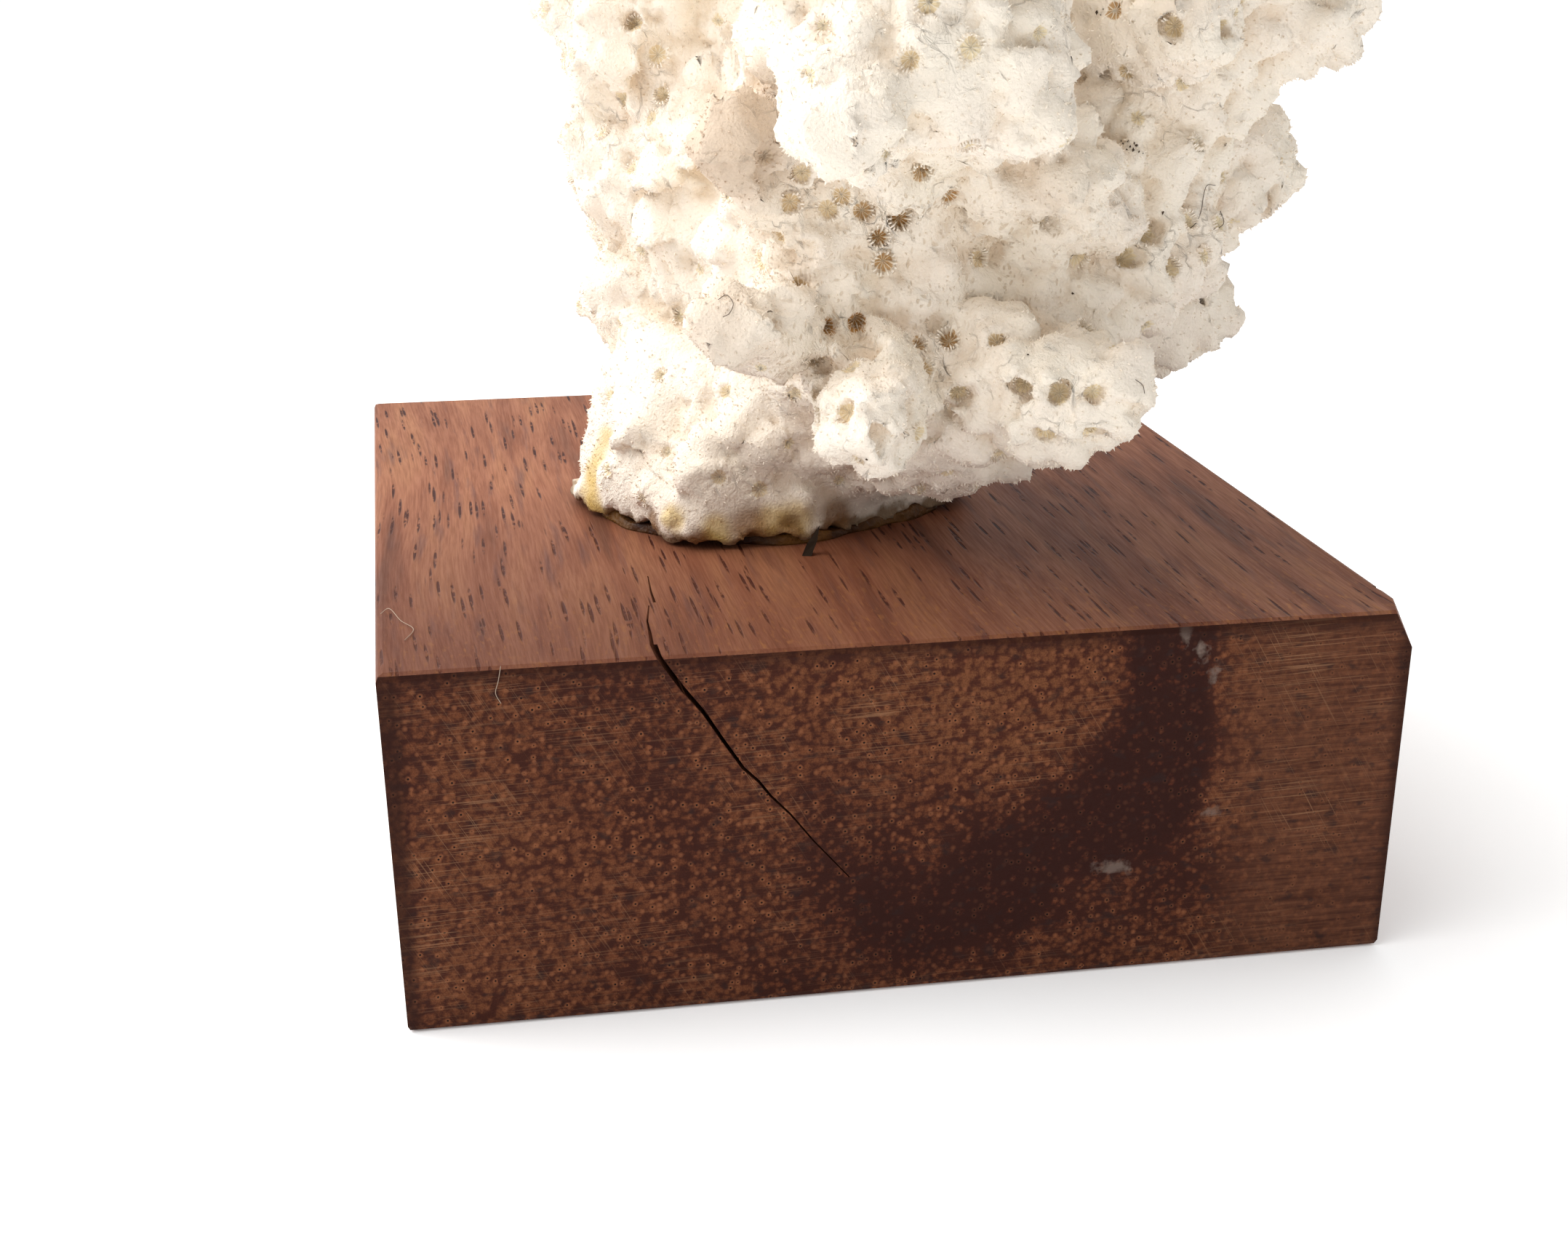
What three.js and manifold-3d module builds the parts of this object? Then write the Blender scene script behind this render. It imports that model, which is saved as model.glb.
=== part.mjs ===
// A bleached branching coral glued to a sawn hardwood block.
// Millimetres, +Z up. The origin is the middle of the block's underside, and the end-grain face with the crack
// looks along -Y. The coral is one skeleton, split here at its main forks.
import * as THREE from "three";
import { mergeVertices } from "three/addons/utils/BufferGeometryUtils.js";
import Module from "manifold-3d";

const wasm = await Module();
wasm.setup();

// Driving dimensions
const BLOCK = { width: 68, depth: 74, height: 25 };
const EDGE_EASE = 0.5; // sanded edges of the block
const SIDE_LEAN = { left: 0.6, right: 0.4 }; // the sides were sawn out of square: they lean out and in
const GLUE_HEIGHT = 1;
const FORK_GAP = 0.3; // clearance between two solids at a fork
const CUP_SKIN = 0.8; // how far the small cups stand out of the limbs, on average
const FOOT_Z = BLOCK.height + GLUE_HEIGHT;
const GOLDEN_ANGLE = Math.PI * (3 - Math.sqrt(5));

// The branches in the order in which they left the stem. Each row of a branch is x, y, z and radius.
// "knobs" is how many side corallites and short shoots stand on it, and "lobes" are its side branches.
const BRANCHES = [
  {
    name: "coral_stem", knobs: 5, knobFrom: 0.62, knobTo: 0.95,
    spine: [[-4, 1, 22, 15], [-4, 1, 27, 15], [-3, 2, 36, 11.3], [-3.3, 3, 45, 11.8], [-4, 3.5, 53, 10.2]],
    lobes: [
      [[-8, 2, 40.5, 6], [-13, 2.5, 40.2, 3.8], [-15.6, 3, 40, 1.8]],
      [[-8, 3, 49, 6.5], [-13.2, 2.5, 49.5, 3.8], [-15.4, 2, 49.7, 2]],
      [[-5, -7, 30, 7], [-9, -10, 28, 5], [-11, -12, 27, 3]],
    ],
  },
  {
    name: "coral_front_branch", knobs: 7, knobFrom: 0.6, knobTo: 0.95,
    spine: [[0, -5, 41, 9.5], [1.5, -13, 47, 10.4], [1.5, -18, 55, 9.8], [0, -26.5, 63, 8.2],
      [-1, -35.5, 68, 7.4], [-2, -40, 79, 7.2], [-3, -42, 94, 5]],
    lobes: [
      [[-2.4, -20, 50.1, 4.6], [-6.6, -23.8, 53, 3.1], [-10.5, -26.6, 55.8, 2.1]],
      [[-2.5, -20, 42.6, 3.6], [-7.6, -25.6, 43.5, 2], [-11.6, -28.4, 44, 1.5]],
      [[0, -14, 47, 8], [-0.2, -21, 45.4, 4.8]],
      [[1.4, -20, 41, 5], [-1.2, -28, 38.8, 3.1], [-2.4, -31.6, 38.3, 2.4]],
      [[-1, -36, 66.5, 7], [-0.8, -40, 62.5, 5.6], [-0.4, -42, 60.2, 3.6]],
      [[-3, -36, 64, 5], [-6.4, -42.5, 59.8, 2.9], [-7.6, -44.3, 58.4, 2.2]],
      [[1, -36, 65, 5.5], [3.2, -41, 61, 2.6], [4.9, -43.4, 58.4, 1]],
      [[6, -17, 53, 6], [8.4, -24, 54.3, 3.8], [11.4, -27.4, 53.8, 2]],
      [[-1.5, -37, 71, 6.2], [5, -42, 79, 5.2], [9, -45, 88, 3.8]],
      [[-2, -39, 76, 6], [-9, -37.5, 83, 5], [-13, -36.5, 91, 3.6]],
    ],
  },
  {
    name: "coral_right_branch", knobs: 8, knobFrom: 0.56, knobTo: 0.95,
    spine: [[4, -4, 41, 9], [10.5, -10.5, 45.5, 8.4], [16, -15.5, 51, 7.4], [20.5, -18, 57.5, 6.2],
      [22.5, -19.5, 66, 6.4], [28, -20.5, 79, 7.2], [31.5, -21, 92, 5]],
    lobes: [
      [[13, -11, 42, 5.4], [20.5, -13, 41.6, 3.3], [24.6, -13, 41, 2.4], [28, -13, 40.2, 1.2]],
      [[20, -13, 41.2, 3], [24.6, -13.4, 38.6, 1.2]],
      [[8, -13, 44.5, 7], [12.5, -19, 44.8, 5.2], [17.5, -21, 45.2, 3]],
      [[14, -15, 46.5, 6], [20, -19.6, 47.2, 4.2], [23, -21.2, 47.8, 2.2]],
      [[17, -13, 50.5, 6.4], [25.4, -13, 51, 5], [29.8, -12.2, 51.8, 3.2], [32, -11.4, 52.2, 1.5]],
      [[22, -20, 66.5, 5.4], [28.4, -21, 64.2, 4.2], [31.2, -21.5, 61.6, 2.2]],
      [[19, -21, 64.5, 5.4], [18.2, -28, 63.2, 3], [18, -30, 62.6, 2]],
      [[12, -17, 51, 5], [13.4, -23.5, 50.5, 3], [13.8, -26, 50, 1.8]],
      [[26, -19, 70, 6.4], [34, -14, 77, 5.2], [38.5, -11, 85, 3.8]],
      [[26, -21.5, 73, 6], [23, -28.5, 80, 4.8], [21.5, -32, 88, 3.4]],
    ],
  },
  {
    name: "coral_low_lobe", knobs: 0, knobFrom: 0.3, knobTo: 0.9,
    spine: [[0, -7, 36, 8.6], [4, -16, 37, 6.2], [8.8, -24.2, 38, 4.5], [12, -29.2, 39.2, 3.2],
      [14.4, -32, 40.3, 1.8]],
    lobes: [
      [[4, -18, 38.5, 5], [7.3, -26, 40.6, 3], [8.2, -28.4, 41.2, 1.8]],
      [[4, -15, 34, 4.2], [7.6, -19.4, 33.4, 2.7], [9.4, -21.6, 34, 1.4]],
    ],
  },
  {
    name: "coral_left_branch", knobs: 10, knobFrom: 0.3, knobTo: 0.95,
    spine: [[-5.5, 4, 50, 10], [-8.3, 5, 64, 9.8], [-12, 6, 80, 9], [-15.5, 8, 96, 7.2], [-17, 9, 108, 5]],
    lobes: [
      [[-10, 7, 69, 7.4], [-18, 12, 78, 6.2], [-24, 15, 90, 4.4]],
      [[-12, 4, 79, 7], [-17, -4, 87, 5.4], [-20, -8, 97, 3.8]],
      [[-9, 3, 60, 6], [-15, 1.5, 61, 4], [-17.4, 1, 61.6, 2.4]],
    ],
  },
  {
    name: "coral_centre_branch", knobs: 11, knobFrom: 0.25, knobTo: 0.95,
    spine: [[-1, 2, 52, 9.5], [3, 0, 66, 9.6], [6, -2, 84, 8.8], [8, -4, 101, 7.4], [9, -5, 114, 5]],
    lobes: [
      [[4, -1, 73, 7.2], [9, -10, 82, 6], [12, -15, 94, 4.2]],
      [[6, -1, 83, 7], [1, 7, 92, 5.6], [-1, 11, 103, 4]],
    ],
  },
  {
    name: "coral_back_branch", knobs: 10, knobFrom: 0.3, knobTo: 0.95,
    spine: [[-1, 6, 46, 9.5], [1, 16, 54, 9.4], [3, 24, 67, 8.8], [5, 28, 83, 7.6], [6, 29, 99, 5]],
    lobes: [
      [[1, 18, 60, 7], [-8, 24, 67, 5.8], [-14, 27, 77, 4]],
      [[4, 26, 73, 6.8], [10, 33, 80, 5.4], [13, 36, 89, 3.8]],
    ],
  },
  {
    name: "coral_right_back_branch", knobs: 11, knobFrom: 0.3, knobTo: 0.95,
    spine: [[4, 4, 46, 8.5], [13, 9, 54, 8.6], [20, 12, 66, 8], [25, 14, 80, 7], [27, 15, 94, 4.8]],
    lobes: [
      [[21, 12, 67, 6.6], [30, 8, 74, 5.2], [35, 5, 83, 3.6]],
      [[18, 12, 62, 6.6], [20, 21, 69, 5.2], [22, 26, 78, 3.6]],
    ],
  },
];

// Solids and meshes

function solidOf(geometry) {
  const bare = geometry.clone();
  bare.deleteAttribute("normal");
  bare.deleteAttribute("uv");
  const merged = mergeVertices(bare, 1e-4);
  return new wasm.Manifold(new wasm.Mesh({
    numProp: 3,
    vertProperties: merged.attributes.position.array,
    triVerts: new Uint32Array(merged.index.array),
  }));
}

function meshOf(solid, name, material) {
  const made = solid.getMesh();
  const geometry = new THREE.BufferGeometry()
    .setAttribute("position", new THREE.BufferAttribute(new Float32Array(made.vertProperties), 3))
    .setIndex(new THREE.BufferAttribute(new Uint32Array(made.triVerts), 1));
  geometry.computeVertexNormals();
  const mesh = new THREE.Mesh(geometry, material);
  mesh.name = name;
  return mesh;
}

function joined(solids) {
  return solids.reduce((whole, next) => whole.add(next));
}

function largestBody(solid) {
  return solid.decompose().reduce((best, next) => (next.volume() > best.volume() ? next : best));
}

// Materials, with the colours of the finished object

const wood = new THREE.MeshStandardMaterial({ color: 0x6b4432, roughness: 0.55, metalness: 0 });
const glue = new THREE.MeshStandardMaterial({ color: 0xa9854a, roughness: 0.3, metalness: 0 });
const coral = new THREE.MeshStandardMaterial({ color: 0xeae2d4, roughness: 0.9, metalness: 0 });

// The block: a sawn and sanded offcut, with a drying crack that starts on top and runs down its end grain,
// and a front right corner that was knocked off

const CRACK_DEPTH = 2.6;
const CRACK_DOWN_FRONT = [[-17.55, 25.8], [-15.5, 22.8], [-14.2, 21.1], [-13.1, 19.3], [-11.7, 17.1], [-10.7, 16.1],
  [-9.9, 15], [-8.6, 13.6], [-7, 11.5], [-4.6, 8.7]]; // x and z
const CRACK_ALONG_TOP = [[-17.02, -37.8], [-17.15, -34.4], [-17, -32], [-16.9, -29.8], [-16.4, -26.6]]; // x and y
const CRACK_STRAND = [[-15.95, -26], [-15.9, -23.6], [-15.7, -20.2]]; // where the crack on top starts afresh
const CRACK_WIDTH = { edge: 0.34, end: 0.08, strand: 0.2 };
const CRACK_LEAN = 0.68; // how far the crack on top leans right as it goes down, so that it meets the front one
const CORNER_CHIP = [[34.3, -32.4, 25], [32.6, -37, 25], [34.3, -37, 21.8]]; // three points of the broken face
const NOTCH = { at: [34.1, -31.6, 25.2], size: 1 };

function blockGeometry() {
  const x = BLOCK.width / 2 - EDGE_EASE;
  const y = BLOCK.depth / 2 - EDGE_EASE;
  const outline = new THREE.Shape([new THREE.Vector2(-x, -y), new THREE.Vector2(x, -y), new THREE.Vector2(x, y),
    new THREE.Vector2(-x, y)]);
  const geometry = new THREE.ExtrudeGeometry(outline, {
    depth: BLOCK.height - 2 * EDGE_EASE, bevelEnabled: true, bevelThickness: EDGE_EASE, bevelSize: EDGE_EASE,
    bevelSegments: 2, steps: 1,
  });
  geometry.translate(0, 0, EDGE_EASE);
  const place = geometry.attributes.position;
  for (let i = 0; i < place.count; i++) {
    const up = place.getZ(i) / BLOCK.height;
    const shift = place.getX(i) < 0 ? SIDE_LEAN.left * up : SIDE_LEAN.right * (1 - up);
    place.setX(i, place.getX(i) - shift);
  }
  return geometry;
}

// A thin prism round a line of points, wide at the first point and narrow at the last
function crackGeometry(line, width) {
  const sides = [[], []];
  line.forEach(([u, v], i) => {
    const [before, after] = [line[Math.max(0, i - 1)], line[Math.min(line.length - 1, i + 1)]];
    const along = new THREE.Vector2(after[0] - before[0], after[1] - before[1]).normalize();
    const half = THREE.MathUtils.lerp(width, CRACK_WIDTH.end, i / (line.length - 1)) / 2;
    sides[0].push(new THREE.Vector2(u - along.y * half, v + along.x * half));
    sides[1].unshift(new THREE.Vector2(u + along.y * half, v - along.x * half));
  });
  const outline = new THREE.Shape([...sides[0], ...sides[1]]);
  return new THREE.ExtrudeGeometry(outline, { depth: CRACK_DEPTH + 1, bevelEnabled: false, steps: 1 });
}

function brokenCorner() {
  const [a, b, c] = CORNER_CHIP.map((p) => new THREE.Vector3(...p));
  const outward = b.clone().sub(a).cross(c.clone().sub(a)).normalize();
  if (outward.x < 0) outward.negate();
  const size = 12;
  const middle = a.clone().add(b).add(c).divideScalar(3).addScaledVector(outward, size / 2);
  return new THREE.BoxGeometry(size, size, size)
    .applyQuaternion(new THREE.Quaternion().setFromUnitVectors(new THREE.Vector3(0, 0, 1), outward))
    .translate(middle.x, middle.y, middle.z);
}

function blockSolid() {
  const front = crackGeometry(CRACK_DOWN_FRONT, CRACK_WIDTH.edge).rotateX(Math.PI / 2)
    .translate(0, -BLOCK.depth / 2 + CRACK_DEPTH, 0);
  const [top, strand] = [[CRACK_ALONG_TOP, CRACK_WIDTH.edge], [CRACK_STRAND, CRACK_WIDTH.strand]].map(
    ([line, width]) => crackGeometry(line, width).translate(0, 0, -CRACK_DEPTH)
      .applyMatrix4(new THREE.Matrix4().makeShear(0, 0, 0, 0, -CRACK_LEAN, 0)).translate(0, 0, BLOCK.height));
  const notch = new THREE.BoxGeometry(NOTCH.size, NOTCH.size, NOTCH.size).rotateZ(Math.PI / 5)
    .translate(...NOTCH.at);
  return [front, top, strand, brokenCorner(), notch]
    .reduce((solid, cutter) => solid.subtract(solidOf(cutter)), solidOf(blockGeometry()));
}

// The glue: a bead that squeezed out all round the foot

const GLUE_RADIUS = 15.3;
const GLUE_MIDDLE = [-4, 0.8];

function glueSolid() {
  const corners = 24;
  const outline = new THREE.Shape(Array.from({ length: corners }, (_, i) => {
    const turn = (i / corners) * 2 * Math.PI;
    const reach = GLUE_RADIUS + 0.5 * Math.sin(3 * turn + 1) + 0.4 * Math.sin(7 * turn) - 0.35;
    return new THREE.Vector2(reach * Math.cos(turn), reach * Math.sin(turn));
  }));
  const geometry = new THREE.ExtrudeGeometry(outline, {
    depth: GLUE_HEIGHT - 0.35, bevelEnabled: true, bevelThickness: 0.35, bevelSize: 0.35, bevelOffset: 0,
    bevelSegments: 1, steps: 1,
  });
  geometry.translate(GLUE_MIDDLE[0], GLUE_MIDDLE[1], BLOCK.height);
  const under = new THREE.BoxGeometry(60, 60, 4).translate(0, 0, BLOCK.height - 2);
  return solidOf(geometry).subtract(solidOf(under));
}

// The coral: a branch is a turned profile bent along its spine, with side corallites standing out of it

const RING_STEP = 6;
const BRANCH_SIDES = 10;
const LOBE_SIDES = 7;
const KNOB_SIDES = 5;
const KNOB_LEAN = 0.75; // radians from straight out, towards the branch's tip
const KNOB_RADIUS = { least: 1.8, most: 2.5 };
const KNOB_REACH = { least: 1.8, most: 3 };
const SHOOT = { every: 3, first: 1, wider: 1.35, longer: 2.4 }; // each third knob grew out into a short shoot

// A share from 0 to 1 that is spread evenly over the whole numbers
function spread(i, salt) {
  return (i * 0.6180339887 + salt * 0.7548776662) % 1;
}

function spineOf(rows) {
  const places = new THREE.CatmullRomCurve3(rows.map(([x, y, z]) => new THREE.Vector3(x, y, z)), false,
    "catmullrom", 0.5);
  const girths = new THREE.CatmullRomCurve3(rows.map((row) => new THREE.Vector3(row[3], 0, 0)), false,
    "catmullrom", 0.5);
  const chord = places.getPoint(1).sub(places.getPoint(0)).normalize();
  const [ax, ay, az] = chord.toArray().map(Math.abs);
  const aside = new THREE.Vector3(ax <= ay && ax <= az ? 1 : 0, ay < ax && ay <= az ? 1 : 0,
    az < ax && az < ay ? 1 : 0);
  return (t) => {
    const tangent = places.getTangent(t);
    const across = aside.clone().addScaledVector(tangent, -aside.dot(tangent)).normalize();
    return {
      place: places.getPoint(t), radius: girths.getPoint(t).x, tangent, across,
      along: tangent.clone().cross(across), length: places.getLength(),
    };
  };
}

// How far the skin stands in or out of the round, by angle and by height up the branch in millimetres
function swell(turn, height, salt) {
  return 1 + 0.05 * Math.sin(3 * turn + 0.31 * height + salt) + 0.035 * Math.sin(5 * turn - 0.47 * height + 2 * salt)
    + 0.03 * Math.sin(0.55 * height + 3 * salt);
}

function branchGeometry(rows, sides, grow, salt) {
  const at = spineOf(rows);
  const length = at(0).length;
  const rings = Math.max(3, Math.round(length / RING_STEP));
  const profile = [new THREE.Vector2(0, 0)];
  for (let i = 0; i <= rings; i++) profile.push(new THREE.Vector2(1, i / rings));
  profile.push(new THREE.Vector2(0.72, 1), new THREE.Vector2(0, 1));
  const domeSteps = { [rings + 2]: 0.68, [rings + 3]: 0.95 }; // height of the rounded tip, in radii
  const geometry = new THREE.LatheGeometry(profile, sides);
  const place = geometry.attributes.position;
  for (let i = 0; i < place.count; i++) {
    const row = i % profile.length;
    const [x, y, z] = [place.getX(i), place.getY(i), place.getZ(i)];
    const turn = Math.round(i / profile.length - row / profile.length) / sides * 2 * Math.PI;
    const spot = at(y);
    const wide = (spot.radius * swell(turn, y * length, salt) + grow) * Math.hypot(x, z);
    const dome = (domeSteps[row] ?? 0) * (spot.radius + grow);
    const point = spot.place.clone().addScaledVector(spot.tangent, dome)
      .addScaledVector(spot.across, wide * Math.cos(turn)).addScaledVector(spot.along, wide * Math.sin(turn));
    place.setXYZ(i, point.x, point.y, point.z);
  }
  return geometry;
}

// One side corallite: a stubby cup that leans up the branch
function knobGeometry(base, lean, radius, reach, grow) {
  const sunk = 3;
  const wide = radius + grow;
  const tall = reach + grow;
  const profile = [[0, -sunk], [wide, -sunk], [wide * 0.72, tall], [0, tall + wide * 0.2]];
  return new THREE.LatheGeometry(profile.map(([r, y]) => new THREE.Vector2(r, y)), KNOB_SIDES)
    .applyQuaternion(new THREE.Quaternion().setFromUnitVectors(new THREE.Vector3(0, 1, 0), lean))
    .translate(base.x, base.y, base.z);
}

function knobsOf(branch, salt, grow) {
  const at = spineOf(branch.spine);
  return Array.from({ length: branch.knobs }, (_, i) => {
    const spot = at(THREE.MathUtils.lerp(branch.knobFrom, branch.knobTo, (i + 0.5) / branch.knobs));
    const turn = i * GOLDEN_ANGLE + salt;
    const out = spot.across.clone().multiplyScalar(Math.cos(turn)).addScaledVector(spot.along, Math.sin(turn));
    const base = spot.place.clone().addScaledVector(out, spot.radius * 0.94);
    const lean = out.clone().multiplyScalar(Math.cos(KNOB_LEAN)).addScaledVector(spot.tangent, Math.sin(KNOB_LEAN));
    const shoot = i % SHOOT.every === SHOOT.first;
    const radius = THREE.MathUtils.lerp(KNOB_RADIUS.least, KNOB_RADIUS.most, spread(i, salt))
      * (shoot ? SHOOT.wider : 1);
    const reach = THREE.MathUtils.lerp(KNOB_REACH.least, KNOB_REACH.most, spread(i, salt + 1))
      * (shoot ? SHOOT.longer : 1);
    return knobGeometry(base, lean.normalize(), radius, reach, grow);
  });
}

function branchSolid(branch, salt, grow) {
  const limbs = [branchGeometry(branch.spine, BRANCH_SIDES, grow, salt),
    ...branch.lobes.map((rows, i) => branchGeometry(rows, LOBE_SIDES, grow, salt + i + 1)),
    ...knobsOf(branch, salt, grow)];
  return joined(limbs.map(solidOf));
}

function coralSolids() {
  const ground = solidOf(new THREE.BoxGeometry(120, 120, 20).translate(0, 0, FOOT_Z - 10));
  let taken = ground;
  return BRANCHES.map((branch, salt) => {
    const own = branchSolid(branch, salt, CUP_SKIN);
    const solid = largestBody(own.subtract(taken));
    taken = taken.add(branchSolid(branch, salt, CUP_SKIN + FORK_GAP));
    return [branch.name, solid];
  });
}

// The object

const specimen = new THREE.Group();
specimen.add(meshOf(blockSolid(), "wood_block", wood));
specimen.add(meshOf(glueSolid(), "glue_bead", glue));
coralSolids().forEach(([name, solid]) => specimen.add(meshOf(solid, name, coral)));

export default specimen;
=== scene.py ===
"""A bleached branching coral glued to a sawn hardwood block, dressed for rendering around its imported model.

Sizes named in millimetres are turned to metres when a mesh is made. The origin is the middle of the block's
underside, +Z is up, and the end-grain face with the crack looks along -Y."""

import math

import bpy
import numpy as np
import openvdb
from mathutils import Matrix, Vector, bvhtree, kdtree


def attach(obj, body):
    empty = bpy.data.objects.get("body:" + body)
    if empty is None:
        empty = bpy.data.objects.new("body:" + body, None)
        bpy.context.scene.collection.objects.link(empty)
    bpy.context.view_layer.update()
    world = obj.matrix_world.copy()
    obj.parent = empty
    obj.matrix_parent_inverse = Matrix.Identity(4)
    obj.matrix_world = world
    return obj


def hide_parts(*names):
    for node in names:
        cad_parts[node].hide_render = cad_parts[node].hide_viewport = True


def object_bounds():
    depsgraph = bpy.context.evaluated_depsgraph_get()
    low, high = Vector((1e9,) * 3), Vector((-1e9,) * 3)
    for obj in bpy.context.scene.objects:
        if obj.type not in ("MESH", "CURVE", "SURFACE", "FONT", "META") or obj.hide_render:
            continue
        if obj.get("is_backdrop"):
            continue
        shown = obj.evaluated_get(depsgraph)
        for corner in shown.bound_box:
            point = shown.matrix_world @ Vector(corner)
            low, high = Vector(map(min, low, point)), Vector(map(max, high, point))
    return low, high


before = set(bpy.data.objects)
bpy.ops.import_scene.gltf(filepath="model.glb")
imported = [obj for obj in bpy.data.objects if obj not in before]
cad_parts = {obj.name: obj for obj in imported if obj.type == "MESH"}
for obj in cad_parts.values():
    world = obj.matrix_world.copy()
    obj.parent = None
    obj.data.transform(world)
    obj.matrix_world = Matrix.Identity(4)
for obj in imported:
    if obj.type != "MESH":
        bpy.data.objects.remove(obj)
cad_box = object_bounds()

# The camera: a phone held close above the near edge, looking a little down and to the right. Its place and
# lens were worked out from the corners of the block, so the block's edges converge as they do in the picture.

MM = 0.001
CAMERA_AT = Vector((-31.84, -161.76, 70.99)) * MM
CAMERA_DOWN = math.radians(19.31)
CAMERA_TURN = math.radians(10.36)
PICTURE = (2156, 1725)
FOCAL_PIXELS = 2921.4
SENSOR_WIDTH = 36.0


def add_object(name, data):
    """Adds an object to the scene."""
    made = bpy.data.objects.new(name, data)
    bpy.context.scene.collection.objects.link(made)
    return made


camera_data = bpy.data.cameras.new("camera")
camera_data.sensor_width = SENSOR_WIDTH
camera_data.sensor_fit = "HORIZONTAL"
camera_data.lens = FOCAL_PIXELS / PICTURE[0] * SENSOR_WIDTH
camera_data.clip_start = 0.01
camera_data.clip_end = 10
camera = add_object("camera", camera_data)
camera.location = CAMERA_AT
look = Vector((math.sin(CAMERA_TURN) * math.cos(CAMERA_DOWN), math.cos(CAMERA_TURN) * math.cos(CAMERA_DOWN),
               -math.sin(CAMERA_DOWN)))
camera.rotation_mode = "QUATERNION"
camera.rotation_quaternion = look.to_track_quat("-Z", "Y")
bpy.context.scene.camera = camera


def ray_through(pixel):
    """The direction in which the camera sees a pixel of the 2156 by 1725 picture."""
    right = look.cross(Vector((0, 0, 1))).normalized()
    up = right.cross(look)
    across = (pixel[0] - PICTURE[0] / 2) / FOCAL_PIXELS
    rise = (PICTURE[1] / 2 - pixel[1]) / FOCAL_PIXELS
    return (look + right * across + up * rise).normalized()


# The block: an offcut of a dense red-brown hardwood, sawn and sanded, with its grain running from front to
# back, so its front is end grain. Its model already has the eased edges, the drying crack and the knocked-off
# corner.

BLOCK_TOP_Z = 25.0
BLOCK_SIDE_X = 34.0

# What Blender calls the choice of what a node does, where that isn't "operation".
MODE_NAMES = {"MapRange": "interpolation_type", "VectorRotate": "rotation_type"}


def from_hex(text):
    """An sRGB colour such as "#a1b2c3" as linear red, green, blue and alpha."""
    shares = [int(text[i:i + 2], 16) / 255 for i in (1, 3, 5)]
    return tuple(s / 12.92 if s <= 0.04045 else ((s + 0.055) / 1.055) ** 2.4 for s in shares) + (1.0,)


def feed(node, sockets):
    """Sets a node's inputs, by name or number, to values, colours such as "#a1b2c3" or other outputs."""
    for socket, value in sockets.items():
        if isinstance(value, bpy.types.NodeSocket):
            tree.links.new(value, node.inputs[socket])
        else:
            node.inputs[socket].default_value = from_hex(value) if isinstance(value, str) else value


def put(kind, sockets, mode=None, **settings):
    """Adds a node to the tree at hand and returns its output. The mode is what the node does, where it has a
    choice. A Mix node always mixes colours."""
    node = tree.nodes.new("ShaderNode" + kind)
    if kind == "Mix":
        node.data_type = "RGBA"
    if mode:
        setattr(node, MODE_NAMES.get(kind, "operation"), mode)
    for name, value in settings.items():
        setattr(node, name, value)
    feed(node, sockets)
    return node.outputs[2 if kind == "Mix" else 0]


def new_material(name):
    material = bpy.data.materials.new(name)
    material.use_nodes = True
    return material, material.node_tree, material.node_tree.nodes["Principled BSDF"]


# Oiled by handling more than by a finish, the wood has a soft sheen, and the saw and the sandpaper left fine
# lines across its end grain.
hardwood, tree, shader = new_material("sanded_hardwood")
coordinates = put("TexCoord", {}).node.outputs
place = put("VectorMath", {0: coordinates["Object"], "Scale": 1000}, "SCALE")
slow_place = put("VectorMath", {0: place, 1: (1, 0.12, 1)}, "MULTIPLY")
wander = put("TexNoise", {"Vector": slow_place, "Scale": 0.16, "Detail": 3})
sway = put("VectorMath", {0: wander.node.outputs["Color"], 1: (0.5, 0.5, 0.5)}, "SUBTRACT")
sway = put("VectorMath", {0: sway, 1: (7, 0, 7)}, "MULTIPLY")
swayed = put("VectorMath", {0: place, 1: sway}, "ADD")

# The figure: soft patches where the wood grew darker or lighter, as x, z, half width, half height and
# strength.
FIGURE = [
    (17, 25, 3.5, 6, -0.7), (16.5, 18, 4, 6, -0.6), (13, 12.5, 6, 4.5, -0.55), (7, 8, 6, 4, -0.55),
    (1, 5, 7, 4, -0.35), (-4.5, 9.5, 4, 5, -0.25), (4, 3, 9, 4, -0.2), (17, 5, 6, 4, -0.2),
    (-1, 23, 9, 5, 0.4), (6, 22, 9, 6, 0.5), (2, 17, 8, 4, 0.2), (26, 16, 7, 12, 0.3), (-28, 10, 9, 10, 0.25),
]
figure = put("Math", {0: wander, 1: 0.9, 2: 0.02}, "MULTIPLY_ADD")


def away_from(middle, spot, half_width, half_height):
    """How far a spot on the end grain is from a patch's middle, measured in the patch's half widths."""
    away = put("VectorMath", {0: spot, 1: middle}, "SUBTRACT")
    away = put("VectorMath", {0: away, 1: (1 / half_width, 0, 1 / half_height)}, "MULTIPLY")
    return put("VectorMath", {0: away}, "LENGTH").node.outputs["Value"]


for x, z, half_width, half_height, strength in FIGURE:
    away = away_from((x, 0, z), swayed, half_width, half_height)
    near = put("MapRange", {"Value": away, "From Min": 1.3, "From Max": 0.3, "To Max": strength},
               "SMOOTHSTEP")
    figure = put("Math", {0: figure, 1: near}, "ADD")
figure = put("Math", {0: figure, 1: 0}, "ADD", use_clamp=True)

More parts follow.
